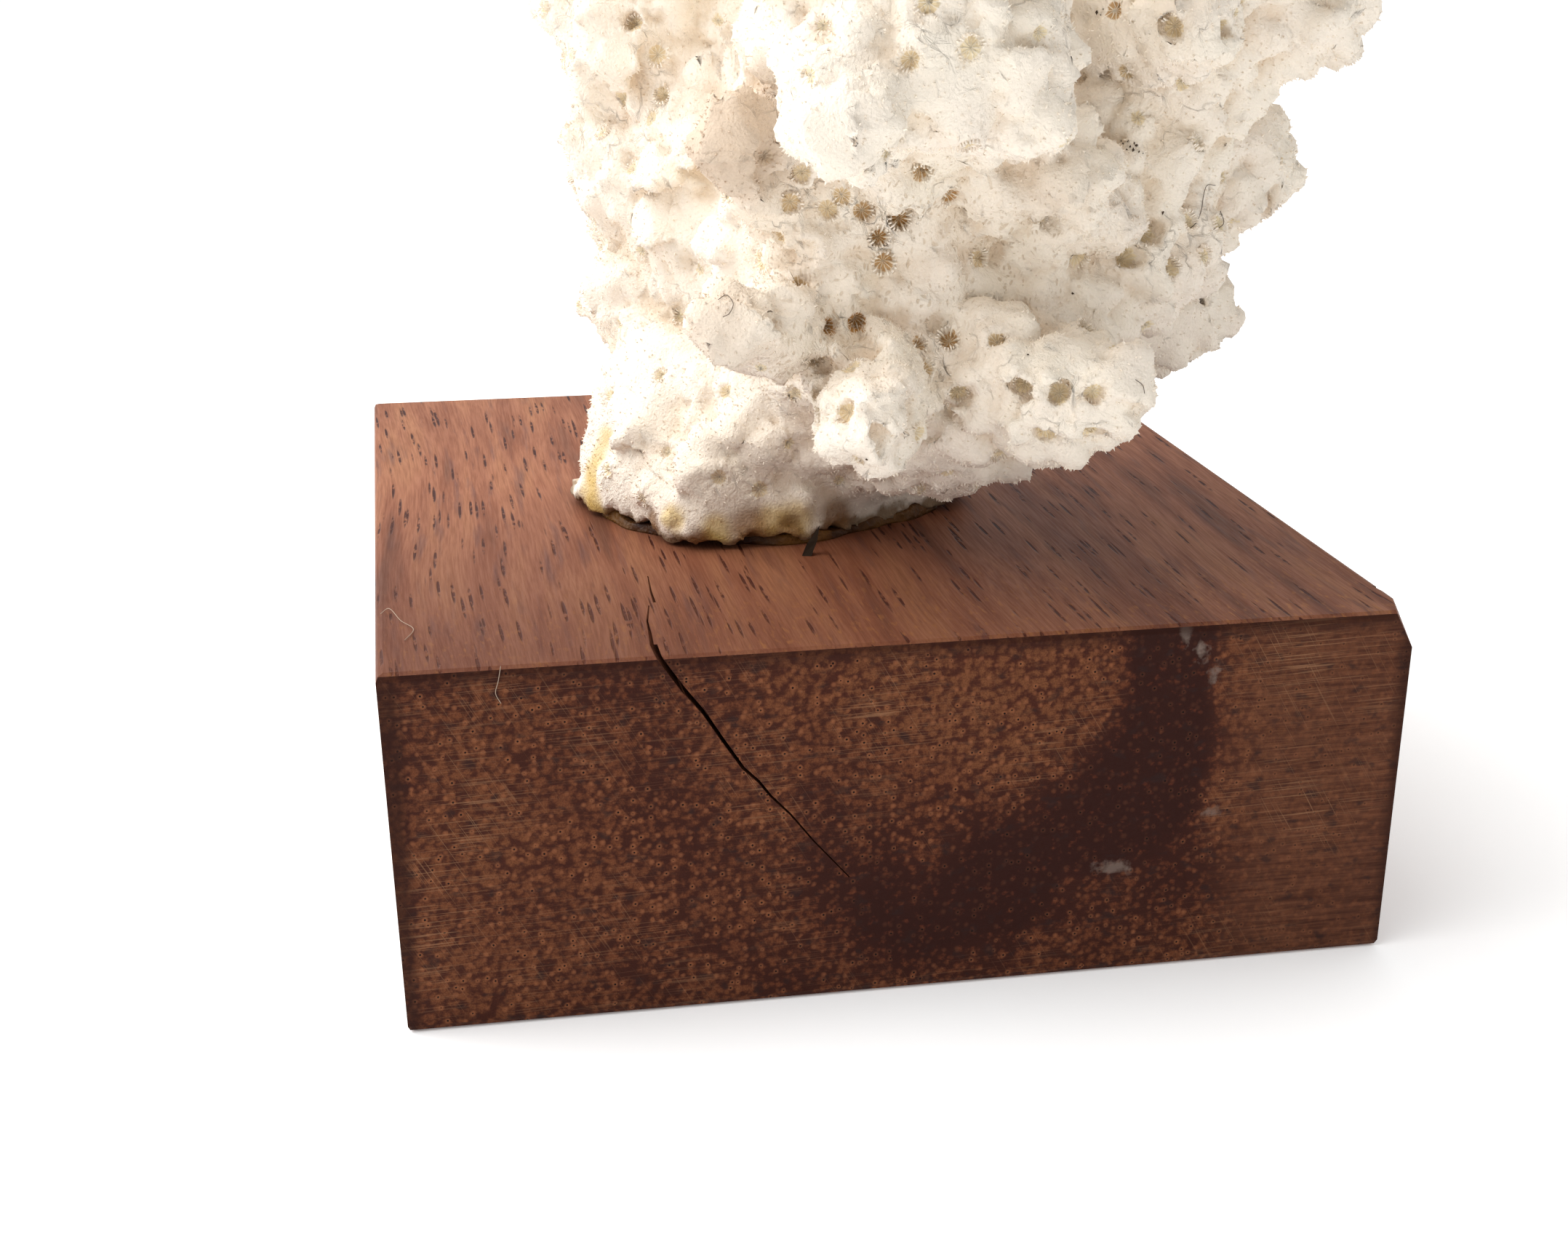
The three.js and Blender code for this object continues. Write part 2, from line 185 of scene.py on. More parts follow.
# End grain: a tan dot of soft tissue 0.35 mm across stands round each vessel, with the vessel's dark bore in
# it. The dots are palest where the wood is light, and give way in places to dark tissue that lies level.
DOT_SPACING = 0.52
VESSEL_LENGTH = 14
mottle_place = put("VectorMath", {0: place, 1: (1.1, 0.08, 2.2)}, "MULTIPLY")
mottle = put("TexNoise", {"Vector": mottle_place, "Scale": 1, "Detail": 4, "Roughness": 0.62})
dot_place = put("VectorMath", {0: place, 1: (1 / DOT_SPACING, 1 / VESSEL_LENGTH, 1 / DOT_SPACING)},
                "MULTIPLY")
ragged = put("TexNoise", {"Vector": place, "Scale": 4.5, "Detail": 4})
ragged_by = put("VectorMath", {0: ragged.node.outputs["Color"], "Scale": 0.9}, "SCALE")
dots = put("TexVoronoi", {"Vector": put("VectorMath", {0: dot_place, 1: ragged_by}, "ADD"), "Scale": 1,
                          "Randomness": 0.9})
dot_size = put("MapRange", {"Value": figure, "From Max": 0.6, "To Min": -0.75, "To Max": -0.3})
dot_size = put("Math", {0: mottle, 1: 1.6, 2: dot_size}, "MULTIPLY_ADD")
past_dot = put("Math", {0: dot_size, 1: dots}, "SUBTRACT")
in_dot = put("MapRange", {"Value": past_dot, "From Min": -0.35, "From Max": 0.3}, "SMOOTHSTEP")
dot_colour = put("Mix", {0: figure, 6: "#5a2c1a", 7: "#71442a"})
between_dots = put("Mix", {0: figure, 6: "#2e130d", 7: "#442015"})
end_colour = put("Mix", {0: in_dot, 6: between_dots, 7: dot_colour})
speckle = put("TexNoise", {"Vector": place, "Scale": 9, "Detail": 2})
speckle = put("MapRange", {"Value": speckle, "From Min": 0.42, "From Max": 0.62, "To Max": 0.35})
end_colour = put("Mix", {0: speckle, 6: end_colour, 7: "#2c120c"})
bores = put("TexVoronoi", {"Vector": dot_place, "Scale": 1, "Randomness": 0.9})
chosen = put("SeparateColor", {"Color": bores.node.outputs["Color"]}).node.outputs
has_bore = put("Math", {0: chosen["Red"], 1: 0.55}, "GREATER_THAN")
bore_size = put("MapRange", {"Value": chosen["Green"], "To Min": 0.07, "To Max": 0.19})
bore = put("Math", {0: bore_size, 1: bores}, "SUBTRACT")
halo = put("MapRange", {"Value": bore, "From Min": -0.35, "From Max": -0.05, "To Max": 1.0})
halo = put("Math", {0: halo, 1: has_bore}, "MULTIPLY")
halo_here = put("MapRange", {"Value": figure, "From Min": 0.1, "From Max": 0.5, "To Min": 0.12,
                             "To Max": 0.6})
halo = put("Math", {0: halo, 1: halo_here}, "MULTIPLY")
end_colour = put("Mix", {0: halo, 6: end_colour, 7: "#91593a"})
bore = put("MapRange", {"Value": bore, "From Min": -0.05, "From Max": 0.02}, "SMOOTHSTEP")
bore = put("Math", {0: bore, 1: has_bore}, "MULTIPLY")
end_colour = put("Mix", {0: bore, 6: end_colour, 7: "#150805"})

# Towards the right edge the sandpaper has filled the bores with dust, and left an even brown with fine level
# lines.
spot = put("SeparateXYZ", {"Vector": place}).node.outputs
filled = put("MapRange", {"Value": spot["X"], "From Min": 19, "From Max": 25, "To Max": 0.62}, "SMOOTHSTEP")
level_lines = put("VectorMath", {0: place, 1: (0.2, 0.05, 4)}, "MULTIPLY")
level_lines = put("TexNoise", {"Vector": level_lines, "Scale": 1, "Detail": 4, "Roughness": 0.65})
level_lines = put("MapRange", {"Value": level_lines, "From Min": 0.32, "From Max": 0.68})
even_brown = put("Mix", {0: level_lines, 6: "#3c1f14", 7: "#6f4530"})
end_colour = put("Mix", {0: filled, 6: end_colour, 7: even_brown})

# Dark mineral flecks, 0.5 to 1 mm, in loose level rows.
fleck_place = put("VectorMath", {0: place, 1: (0.7, 0.08, 1.1)}, "MULTIPLY")
flecks = put("TexNoise", {"Vector": fleck_place, "Scale": 1, "Detail": 3})
fleck = put("MapRange", {"Value": flecks, "From Min": 0.56, "From Max": 0.7, "To Max": 0.7}, "SMOOTHSTEP")
end_colour = put("Mix", {0: fleck, 6: end_colour, 7: "#2b1a18"})

# Scratches from the saw and the sandpaper: long in one direction and under 0.1 mm wide, as angle, threshold
# and strength.
SCRATCHES = [(-60, 0.63, 0.5), (2, 0.57, 0.5)]
scratch_spread = put("TexNoise", {"Vector": place, "Scale": 0.11, "Detail": 1})
scratched = put("MapRange", {"Value": figure, "From Min": 0.25, "From Max": 0.8})
scratch_height = None
for degrees, threshold, strength in SCRATCHES:
    turned = put("VectorRotate", {"Vector": place, "Angle": math.radians(degrees)}, "Y_AXIS")
    turned = put("VectorMath", {0: turned, 1: (1 / 6, 0, 1 / 0.1)}, "MULTIPLY")
    lines = put("TexNoise", {"Vector": turned, "Scale": 1, "Detail": 1})
    line = put("MapRange", {"Value": lines, "From Min": threshold, "From Max": threshold + 0.06})
    here = put("MapRange", {"Value": scratch_spread, "From Min": 0.38, "From Max": 0.6, "To Max": strength})
    line = put("Math", {0: line, 1: here}, "MULTIPLY")
    line = put("Math", {0: line, 1: scratched}, "MULTIPLY")
    end_colour = put("Mix", {0: line, 6: end_colour, 7: "#946b4e"})
    scratch_height = line if scratch_height is None else put("Math", {0: line, 1: scratch_height}, "ADD")

# Pale filler in a small split near the top right, and in two dents: x, z, half width, half height and
# strength.
FILLER = [(17.9, 24.4, 0.8, 1.3, 0.9), (19, 23, 0.8, 1.3, 0.9), (20, 21.7, 0.7, 1.2, 0.8),
          (20.5, 11.4, 1, 0.6, 0.6), (13.6, 7.8, 2.2, 1.1, 0.65)]
crumbly = put("TexNoise", {"Vector": place, "Scale": 1.6, "Detail": 4})
for x, z, half_width, half_height, strength in FILLER:
    away = away_from((x, 0, z), place, half_width, half_height)
    near = put("MapRange", {"Value": away, "From Min": 1.2, "From Max": 0.2, "To Max": 0.5})
    near = put("Math", {0: near, 1: crumbly}, "ADD")
    near = put("MapRange", {"Value": near, "From Min": 0.78, "From Max": 1.05, "To Max": strength})
    end_colour = put("Mix", {0: near, 6: end_colour, 7: "#75655c"})

# Long grain, on the other faces: fine fibres, broad streaks of which some are bluish grey, amber flecks near
# the end grain, and the vessels cut along as thin dark dashes. Towards the front, and most on the left, the
# long grain is painted darker as shade, where less light reaches it.
grain_sway = put("TexNoise", {"Vector": put("VectorMath", {0: place, 1: (0.07, 0.02, 0.07)}, "MULTIPLY"),
                              "Scale": 1, "Detail": 1})
grain_sway = put("VectorMath", {0: grain_sway.node.outputs["Color"], 1: (4, 0, 4)}, "MULTIPLY")
grain_place = put("VectorMath", {0: place, 1: grain_sway}, "ADD")


def along_grain(across, along):
    """The place in the wood, measured in units of so many millimetres across the grain and along it."""
    return put("VectorMath", {0: grain_place, 1: (1 / across, 1 / along, 1 / across)}, "MULTIPLY")


fibres = put("TexNoise", {"Vector": along_grain(0.15, 5), "Scale": 1, "Detail": 3, "Roughness": 0.6})
streaks = put("TexNoise", {"Vector": along_grain(2.4, 30), "Scale": 1, "Detail": 4})
streak_colour = put("ValToRGB", {"Fac": streaks})
ramp = streak_colour.node.color_ramp
LONG_GRAIN = [(0.3, "#67412f"), (0.42, "#814f37"), (0.52, "#905d43"), (0.64, "#976547"), (0.78, "#7b4b33")]
while len(ramp.elements) < len(LONG_GRAIN):
    ramp.elements.new(0.5)
for stop, (position, colour) in zip(ramp.elements, LONG_GRAIN):
    stop.position = position
    stop.color = from_hex(colour)
smoke = put("TexNoise", {"Vector": along_grain(0.9, 11), "Scale": 1, "Detail": 4})
smoky = put("MapRange", {"Value": smoke, "From Min": 0.56, "From Max": 0.74, "To Max": 0.65})
long_colour = put("Mix", {0: smoky, 6: streak_colour, 7: "#4f3636"})
fibre_shade = put("MapRange", {"Value": fibres, "From Min": 0.35, "From Max": 0.62, "To Min": 0.35,
                               "To Max": 0.0})
long_colour = put("Mix", {0: fibre_shade, 6: long_colour, 7: "#4a2114"})
near_end = put("MapRange", {"Value": spot["Y"], "From Min": -18, "From Max": -33})
amber = put("TexNoise", {"Vector": along_grain(0.3, 1.2), "Scale": 1, "Detail": 4})
amber = put("MapRange", {"Value": amber, "From Min": 0.56, "From Max": 0.75, "To Max": 0.8})
amber = put("Math", {0: amber, 1: near_end}, "MULTIPLY")
long_colour = put("Mix", {0: amber, 6: long_colour, 7: "#a8713f"})
vessels = put("TexVoronoi", {"Vector": along_grain(0.5, 10), "Scale": 1, "Randomness": 1})
vessel = put("MapRange", {"Value": vessels, "From Min": 0.3, "From Max": 0.17}, "SMOOTHSTEP")
beads = put("TexNoise", {"Vector": along_grain(0.4, 1.2), "Scale": 1, "Detail": 3})
beads = put("MapRange", {"Value": beads, "From Min": 0.36, "From Max": 0.52})
vessel = put("Math", {0: vessel, 1: beads}, "MULTIPLY")
long_colour = put("Mix", {0: vessel, 6: long_colour, 7: "#371209"})
figure_shade = put("MapRange", {"Value": figure, "From Max": 0.3, "To Min": 0.3, "To Max": 0})
long_colour = put("Mix", {0: figure_shade, 6: long_colour, 7: "#4a2318"})
# Painted shade: the long grain darkens towards the front, most on the left, where less light falls on it.
strongest_front_darkening = put("MapRange", {"Value": spot["X"], "From Min": -20, "From Max": 25, "To Min": 0.66,
                            "To Max": 0.26})
painted_front_shade = put("MapRange", {"Value": spot["Y"], "From Min": 5, "From Max": -34, "To Max": strongest_front_darkening})
long_colour = put("Mix", {0: painted_front_shade, 6: long_colour, 7: "#4b2314"})

# Which way a face looks decides which of the two shows. Handling has darkened the eased edges of the end
# grain.
facing = put("SeparateXYZ", {"Vector": coordinates["Normal"]})
facing_y = put("Math", {0: facing.node.outputs["Y"]}, "ABSOLUTE")
is_end = put("MapRange", {"Value": facing_y, "From Min": 0.5, "From Max": 0.8})
whole_colour = put("Mix", {0: is_end, 6: long_colour, 7: end_colour})
top_edge = put("MapRange", {"Value": spot["Z"], "From Min": BLOCK_TOP_Z - 1.4, "From Max": BLOCK_TOP_Z - 0.3})
spot_x = put("Math", {0: spot["X"]}, "ABSOLUTE")
side_edge = put("MapRange", {"Value": spot_x, "From Min": BLOCK_SIDE_X - 1.2, "From Max": BLOCK_SIDE_X - 0.4})
edge = put("Math", {0: top_edge, 1: side_edge}, "MAXIMUM")
edge = put("Math", {0: edge, 1: is_end}, "MULTIPLY")
edge = put("Math", {0: edge, 1: 0.75}, "MULTIPLY")
whole_colour = put("Mix", {0: edge, 6: whole_colour, 7: "#2a120b"})

height = put("Math", {0: bore, 1: -0.08, 2: 0}, "MULTIPLY_ADD")
height = put("Math", {0: scratch_height, 1: -0.03, 2: height}, "MULTIPLY_ADD")
height = put("Math", {0: height, 1: is_end}, "MULTIPLY")
height = put("Math", {0: fibres, 1: 0.02, 2: height}, "MULTIPLY_ADD")
vessel_depth = put("Math", {0: 1, 1: is_end}, "SUBTRACT")
vessel_depth = put("Math", {0: vessel_depth, 1: vessel}, "MULTIPLY")
height = put("Math", {0: vessel_depth, 1: -0.05, 2: height}, "MULTIPLY_ADD")
bump = put("Bump", {"Height": height, "Distance": MM, "Strength": 1.0})
sheen = put("MapRange", {"Value": fibres, "From Min": 0.3, "From Max": 0.7, "To Min": 0.7, "To Max": 0.55})
gloss = put("MapRange", {"Value": is_end, "To Min": 0.13, "To Max": 0.1})
feed(shader, {"Base Color": whole_colour, "Normal": bump, "Roughness": sheen, "Specular IOR Level": gloss,
              "IOR": 1.5})

block = bpy.data.objects["wood_block"]
block.data.materials.clear()
block.data.materials.append(hardwood)

# The glue: contact adhesive that holds the coral's foot to the block. It squeezed out all round the foot and
# dried brown, with amber where it is thick; its dark brown is also painted contact shadow at the foot.

GLUE_HEIGHT = 1.0
GLUE_RADIUS = 14.4
GLUE_MIDDLE = (-4.0, 0.8)
GLUE_TURNS, GLUE_PROFILE, GLUE_INNER = 220, 8, 3.0

adhesive, tree, shader = new_material("dried_contact_adhesive")
coordinates = put("TexCoord", {}).node.outputs
place = put("VectorMath", {0: coordinates["Object"], "Scale": 1000}, "SCALE")
soaked = put("TexNoise", {"Vector": place, "Scale": 0.25, "Detail": 3})
soaked = put("MapRange", {"Value": soaked, "From Min": 0.4, "From Max": 0.62})
# The glue's dark brown is partly its own colour and partly painted contact shadow under the coral's foot.
glue_and_contact_shadow_colour = put("Mix", {0: soaked, 6: "#34190d", 7: "#6e4a20"})
wrinkles = put("TexNoise", {"Vector": place, "Scale": 1.4, "Detail": 3})
bump = put("Bump", {"Height": wrinkles, "Distance": 0.4 * MM})
feed(shader, {"Base Color": glue_and_contact_shadow_colour, "Normal": bump, "Roughness": 0.5, "IOR": 1.47,
              "Specular IOR Level": 0.25})


def glue_reach(turn):
    return GLUE_RADIUS + 0.5 * np.sin(3 * turn + 1) + 0.4 * np.sin(7 * turn) + 0.12 * np.sin(23 * turn + 2)


turns = np.arange(GLUE_TURNS) / GLUE_TURNS * 2 * math.pi
swells = 0.75 + 0.25 * np.sin(5 * turns + 2) * np.sin(11 * turns)
rows = []
for k in range(GLUE_PROFILE):
    bend = k / (GLUE_PROFILE - 1) * math.pi / 2
    rows.append((glue_reach(turns) + 0.45 * swells * math.cos(bend), GLUE_HEIGHT * swells * math.sin(bend)))
rows.append((glue_reach(turns) - GLUE_INNER, GLUE_HEIGHT * swells))
rows.append((glue_reach(turns) - GLUE_INNER, 0 * turns))
glue_x, glue_y = GLUE_MIDDLE
rings = [(glue_x + reach * np.cos(turns), glue_y + reach * np.sin(turns), BLOCK_TOP_Z + rise)
         for reach, rise in rows]
glue_points = np.array(rings).transpose(2, 0, 1).reshape(-1, 3)
ring = np.arange(GLUE_TURNS)[:, None] * len(rows)
following = np.roll(ring, -1, axis=0)
level, above = np.arange(len(rows)), (np.arange(len(rows)) + 1) % len(rows)
glue_faces = np.stack([ring + level, following + level, following + above, ring + above], -1).reshape(-1, 4)
glue_mesh = bpy.data.meshes.new("glue")
glue_mesh.from_pydata((glue_points * MM).tolist(), [], glue_faces.tolist())
glue_mesh.polygons.foreach_set("use_smooth", np.ones(len(glue_faces), bool))
glue_mesh.materials.append(adhesive)
glue = add_object("glue_squeeze", glue_mesh)
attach(glue, "root")
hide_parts("glue_bead")

# The coral: one bleached skeleton of aragonite, grown as finger-thick branches that fork from a short stem.
# Its whole surface is small cups, the corallites, that lean towards the tip of the branch they stand on.

FOOT_Z = 26.0
GOLDEN_ANGLE = math.pi * (3 - math.sqrt(5))

# The branches in the order in which they left the stem. Each row is x, y, z and radius in millimetres. Knobs
# stand on a branch between two shares of its length.
BRANCHES = [
    {
        "name": "stem", "knobs": 5, "knob_from": 0.62, "knob_to": 0.95,
        "spine": [(-4, 1, 22, 15), (-4, 1, 27, 15), (-3, 2, 36, 11.3), (-3.3, 3, 45, 11.8),
                  (-4, 3.5, 53, 10.2)],
        "lobes": [
            [(-8, 2, 40.5, 6), (-13, 2.5, 40.2, 3.8), (-15.6, 3, 40, 1.8)],
            [(-8, 3, 49, 6.5), (-13.2, 2.5, 49.5, 3.8), (-15.4, 2, 49.7, 2)],
            [(-5, -7, 30, 7), (-9, -10, 28, 5), (-11, -12, 27, 3)],
        ],
    },
    {
        "name": "front_branch", "knobs": 7, "knob_from": 0.6, "knob_to": 0.95,
        "spine": [(0, -5, 41, 9.5), (1.5, -13, 47, 10.4), (1.5, -18, 55, 9.8), (0, -26.5, 63, 8.2),
                  (-1, -35.5, 68, 7.4), (-2, -40, 79, 7.2), (-3, -42, 94, 5)],
        "lobes": [
            [(-2.4, -20, 50.1, 4.6), (-6.6, -23.8, 53, 3.1), (-10.5, -26.6, 55.8, 2.1)],
            [(-2.5, -20, 42.6, 3.6), (-7.6, -25.6, 43.5, 2), (-11.6, -28.4, 44, 1.5)],
            [(0, -14, 47, 8), (-0.2, -21, 45.4, 4.8)],
            [(1.4, -20, 41, 5), (-1.2, -28, 38.8, 3.1), (-2.4, -31.6, 38.3, 2.4)],
            [(-1, -36, 66.5, 7), (-0.8, -40, 62.5, 5.6), (-0.4, -42, 60.2, 3.6)],
            [(-3, -36, 64, 5), (-6.4, -42.5, 59.8, 2.9), (-7.6, -44.3, 58.4, 2.2)],
            [(1, -36, 65, 5.5), (3.2, -41, 61, 2.6), (4.9, -43.4, 58.4, 1)],
            [(6, -17, 53, 6), (8.4, -24, 54.3, 3.8), (11.4, -27.4, 53.8, 2)],
            [(-1.5, -37, 71, 6.2), (5, -42, 79, 5.2), (9, -45, 88, 3.8)],
            [(-2, -39, 76, 6), (-9, -37.5, 83, 5), (-13, -36.5, 91, 3.6)],
        ],
    },
    {
        "name": "right_branch", "knobs": 8, "knob_from": 0.56, "knob_to": 0.95,
        "spine": [(4, -4, 41, 9), (10.5, -10.5, 45.5, 8.4), (16, -15.5, 51, 7.4), (20.5, -18, 57.5, 6.2),
                  (22.5, -19.5, 66, 6.4), (28, -20.5, 79, 7.2), (31.5, -21, 92, 5)],
        "lobes": [
            [(13, -11, 42, 5.4), (20.5, -13, 41.6, 3.3), (24.6, -13, 41, 2.4), (28, -13, 40.2, 1.2)],
            [(20, -13, 41.2, 3), (24.6, -13.4, 38.6, 1.2)],
            [(8, -13, 44.5, 7), (12.5, -19, 44.8, 5.2), (17.5, -21, 45.2, 3)],
            [(14, -15, 46.5, 6), (20, -19.6, 47.2, 4.2), (23, -21.2, 47.8, 2.2)],
            [(17, -13, 50.5, 6.4), (25.4, -13, 51, 5), (29.8, -12.2, 51.8, 3.2), (32, -11.4, 52.2, 1.5)],
            [(22, -20, 66.5, 5.4), (28.4, -21, 64.2, 4.2), (31.2, -21.5, 61.6, 2.2)],
            [(19, -21, 64.5, 5.4), (18.2, -28, 63.2, 3), (18, -30, 62.6, 2)],
            [(12, -17, 51, 5), (13.4, -23.5, 50.5, 3), (13.8, -26, 50, 1.8)],
            [(26, -19, 70, 6.4), (34, -14, 77, 5.2), (38.5, -11, 85, 3.8)],
            [(26, -21.5, 73, 6), (23, -28.5, 80, 4.8), (21.5, -32, 88, 3.4)],
        ],
    },
    {
        "name": "low_lobe", "knobs": 0, "knob_from": 0.3, "knob_to": 0.9,
        "spine": [(0, -7, 36, 8.6), (4, -16, 37, 6.2), (8.8, -24.2, 38, 4.5), (12, -29.2, 39.2, 3.2),
                  (14.4, -32, 40.3, 1.8)],
        "lobes": [
            [(4, -18, 38.5, 5), (7.3, -26, 40.6, 3), (8.2, -28.4, 41.2, 1.8)],
            [(4, -15, 34, 4.2), (7.6, -19.4, 33.4, 2.7), (9.4, -21.6, 34, 1.4)],
        ],
    },
    {
        "name": "left_branch", "knobs": 10, "knob_from": 0.3, "knob_to": 0.95,
        "spine": [(-5.5, 4, 50, 10), (-8.3, 5, 64, 9.8), (-12, 6, 80, 9), (-15.5, 8, 96, 7.2),
                  (-17, 9, 108, 5)],
        "lobes": [
            [(-10, 7, 69, 7.4), (-18, 12, 78, 6.2), (-24, 15, 90, 4.4)],
            [(-12, 4, 79, 7), (-17, -4, 87, 5.4), (-20, -8, 97, 3.8)],
            [(-9, 3, 60, 6), (-15, 1.5, 61, 4), (-17.4, 1, 61.6, 2.4)],
        ],
    },
    {
        "name": "centre_branch", "knobs": 11, "knob_from": 0.25, "knob_to": 0.95,
        "spine": [(-1, 2, 52, 9.5), (3, 0, 66, 9.6), (6, -2, 84, 8.8), (8, -4, 101, 7.4), (9, -5, 114, 5)],
        "lobes": [
            [(4, -1, 73, 7.2), (9, -10, 82, 6), (12, -15, 94, 4.2)],
            [(6, -1, 83, 7), (1, 7, 92, 5.6), (-1, 11, 103, 4)],
        ],
    },
    {
        "name": "back_branch", "knobs": 10, "knob_from": 0.3, "knob_to": 0.95,
        "spine": [(-1, 6, 46, 9.5), (1, 16, 54, 9.4), (3, 24, 67, 8.8), (5, 28, 83, 7.6), (6, 29, 99, 5)],
        "lobes": [
            [(1, 18, 60, 7), (-8, 24, 67, 5.8), (-14, 27, 77, 4)],
            [(4, 26, 73, 6.8), (10, 33, 80, 5.4), (13, 36, 89, 3.8)],
        ],
    },
    {
        "name": "right_back_branch", "knobs": 11, "knob_from": 0.3, "knob_to": 0.95,
        "spine": [(4, 4, 46, 8.5), (13, 9, 54, 8.6), (20, 12, 66, 8), (25, 14, 80, 7), (27, 15, 94, 4.8)],
        "lobes": [
            [(21, 12, 67, 6.6), (30, 8, 74, 5.2), (35, 5, 83, 3.6)],
            [(18, 12, 62, 6.6), (20, 21, 69, 5.2), (22, 26, 78, 3.6)],
        ],
    },
]

# The field in which the skeleton is worked out: distances in millimetres from its skin, negative inside, on a
# coarse grid for the limbs and on a fine one for each piece's surface.
FIELD_LOW = np.array([-36.0, -60.0, 20.0])
FIELD_STEP = 1.0
FIELD_COUNT = (85, 107, 109)
FAR = 7.0
LIMB_BLEND = 1.6
FORK_BLEND = 2.5

rng = np.random.default_rng(11)


def catmull_rom(rows, t):
    """Places and radii on the smooth curve through the rows, at shares t from 0 to 1."""
    rows = np.asarray(rows, float)
    ends = np.vstack([2 * rows[0] - rows[1], rows, 2 * rows[-1] - rows[-2]])
    at = np.clip(t, 0, 1) * (len(rows) - 1)
    i = np.minimum(at.astype(int), len(rows) - 2)
    w = (at - i)[:, None]
    a, b, c, d = ends[i], ends[i + 1], ends[i + 2], ends[i + 3]
    return b + 0.5 * w * ((c - a) + w * ((2 * a - 5 * b + 4 * c - d) + w * (3 * b - 3 * c + d - a)))


def unit(v):
    return v / np.linalg.norm(v, axis=-1, keepdims=True)


def smooth_min(a, b, blend):
    h = np.maximum(blend - np.abs(a - b), 0) / blend
    return np.minimum(a, b) - h * h * blend / 4


class Limb:
    """A spine with its girth: a branch, or a lobe of one. The salt sets how its skin swells."""

    def __init__(self, rows, salt, owner):
        self.rows = np.asarray(rows, float)
        self.salt = salt
        self.owner = owner
        curve = catmull_rom(self.rows, np.linspace(0, 1, 201))[:, :3]
        self.length = np.linalg.norm(np.diff(curve, axis=0), axis=1).sum()
        self.share = np.linspace(0, 1, max(8, int(self.length / 2))).astype(np.float32)
        spots = catmull_rom(self.rows, self.share)
        self.place, self.radius = spots[:, :3].astype(np.float32), spots[:, 3].astype(np.float32)
        self.tangent, self.across, self.along = (v.astype(np.float32) for v in self.axes(self.share))

    def axes(self, share):
        tiny = 1e-4
        tangent = unit(catmull_rom(self.rows, np.minimum(share + tiny, 1))[:, :3]
                       - catmull_rom(self.rows, np.maximum(share - tiny, 0))[:, :3])
        chord = np.abs(self.rows[-1, :3] - self.rows[0, :3])
        aside = np.eye(3)[np.argmin(chord)]
        across = unit(aside - (tangent @ aside)[:, None] * tangent)
        return tangent, across, np.cross(tangent, across)

    def swell(self, turn, height):
        return (1 + 0.05 * np.sin(3 * turn + 0.31 * height + self.salt)
                + 0.035 * np.sin(5 * turn - 0.47 * height + 2 * self.salt)
                + 0.03 * np.sin(0.55 * height + 3 * self.salt))

    def reach(self, x, y, z):
        """For each point: distance from the skin, height up the spine and the two sideways offsets."""
        best, station = np.float32(1e9), np.float32(0)
        for i in range(len(self.place) - 1):
            start, step = self.place[i], self.place[i + 1] - self.place[i]
            square = np.float32(step @ step)
            dx, dy, dz = x - start[0], y - start[1], z - start[2]
            run = dx * step[0] + dy * step[1] + dz * step[2]
            w = np.clip(run / square, 0, 1)
            gap = np.sqrt(np.maximum(dx * dx + dy * dy + dz * dz - w * (2 * run - w * square), 0))
            gap -= self.radius[i] + w * (self.radius[i + 1] - self.radius[i])
            nearer = gap < best
            best = np.where(nearer, gap, best)
            station = np.where(nearer, i + w, station)
        i = np.minimum(station.astype(np.int32), len(self.place) - 2)
        w = station - i
        mixed = lambda rows: rows[i] + w * (rows[i + 1] - rows[i])
        offset = [here - mixed(self.place[:, k]) for k, here in enumerate((x, y, z))]
        u = sum(offset[k] * mixed(self.across[:, k]) for k in range(3))
        v = sum(offset[k] * mixed(self.along[:, k]) for k in range(3))
        height = mixed(self.share) * np.float32(self.length)
        return best - mixed(self.radius) * (self.swell(np.arctan2(v, u), height) - 1), height, u, v


def axis_places(k, first, last):
    return (FIELD_LOW[k] + FIELD_STEP * np.arange(first, last)).astype(np.float32)


def limb_field(limb):
    """The part of the coarse grid that a limb comes near, and its distances there."""
    widest = limb.radius.max() * 1.2 + FAR
    first = np.maximum(((limb.place.min(0) - widest - FIELD_LOW) / FIELD_STEP).astype(int), 0)
    last = np.minimum(((limb.place.max(0) + widest - FIELD_LOW) / FIELD_STEP).astype(int) + 2, FIELD_COUNT)
    x, y, z = (axis_places(k, first[k], last[k]) for k in range(3))
    near = limb.reach(x[:, None, None], y[None, :, None], z[None, None, :])[0]
    return tuple(slice(first[k], last[k]) for k in range(3)), np.minimum(near, FAR)


# Side knobs and short shoots: they stand on a branch in the golden angle's turn, and lean up it.
KNOB_LEAN = 0.75
KNOB_RADIUS = (1.8, 2.5)
KNOB_REACH = (1.8, 3.0)
KNOB_SUNK = 3.0
SHOOT_EVERY, SHOOT_FIRST, SHOOT_WIDER, SHOOT_LONGER = 3, 1, 1.35, 2.4


def spread(i, salt):
    """A share from 0 to 1 that is spread evenly over the whole numbers."""
    return (i * 0.6180339887 + salt * 0.7548776662) % 1


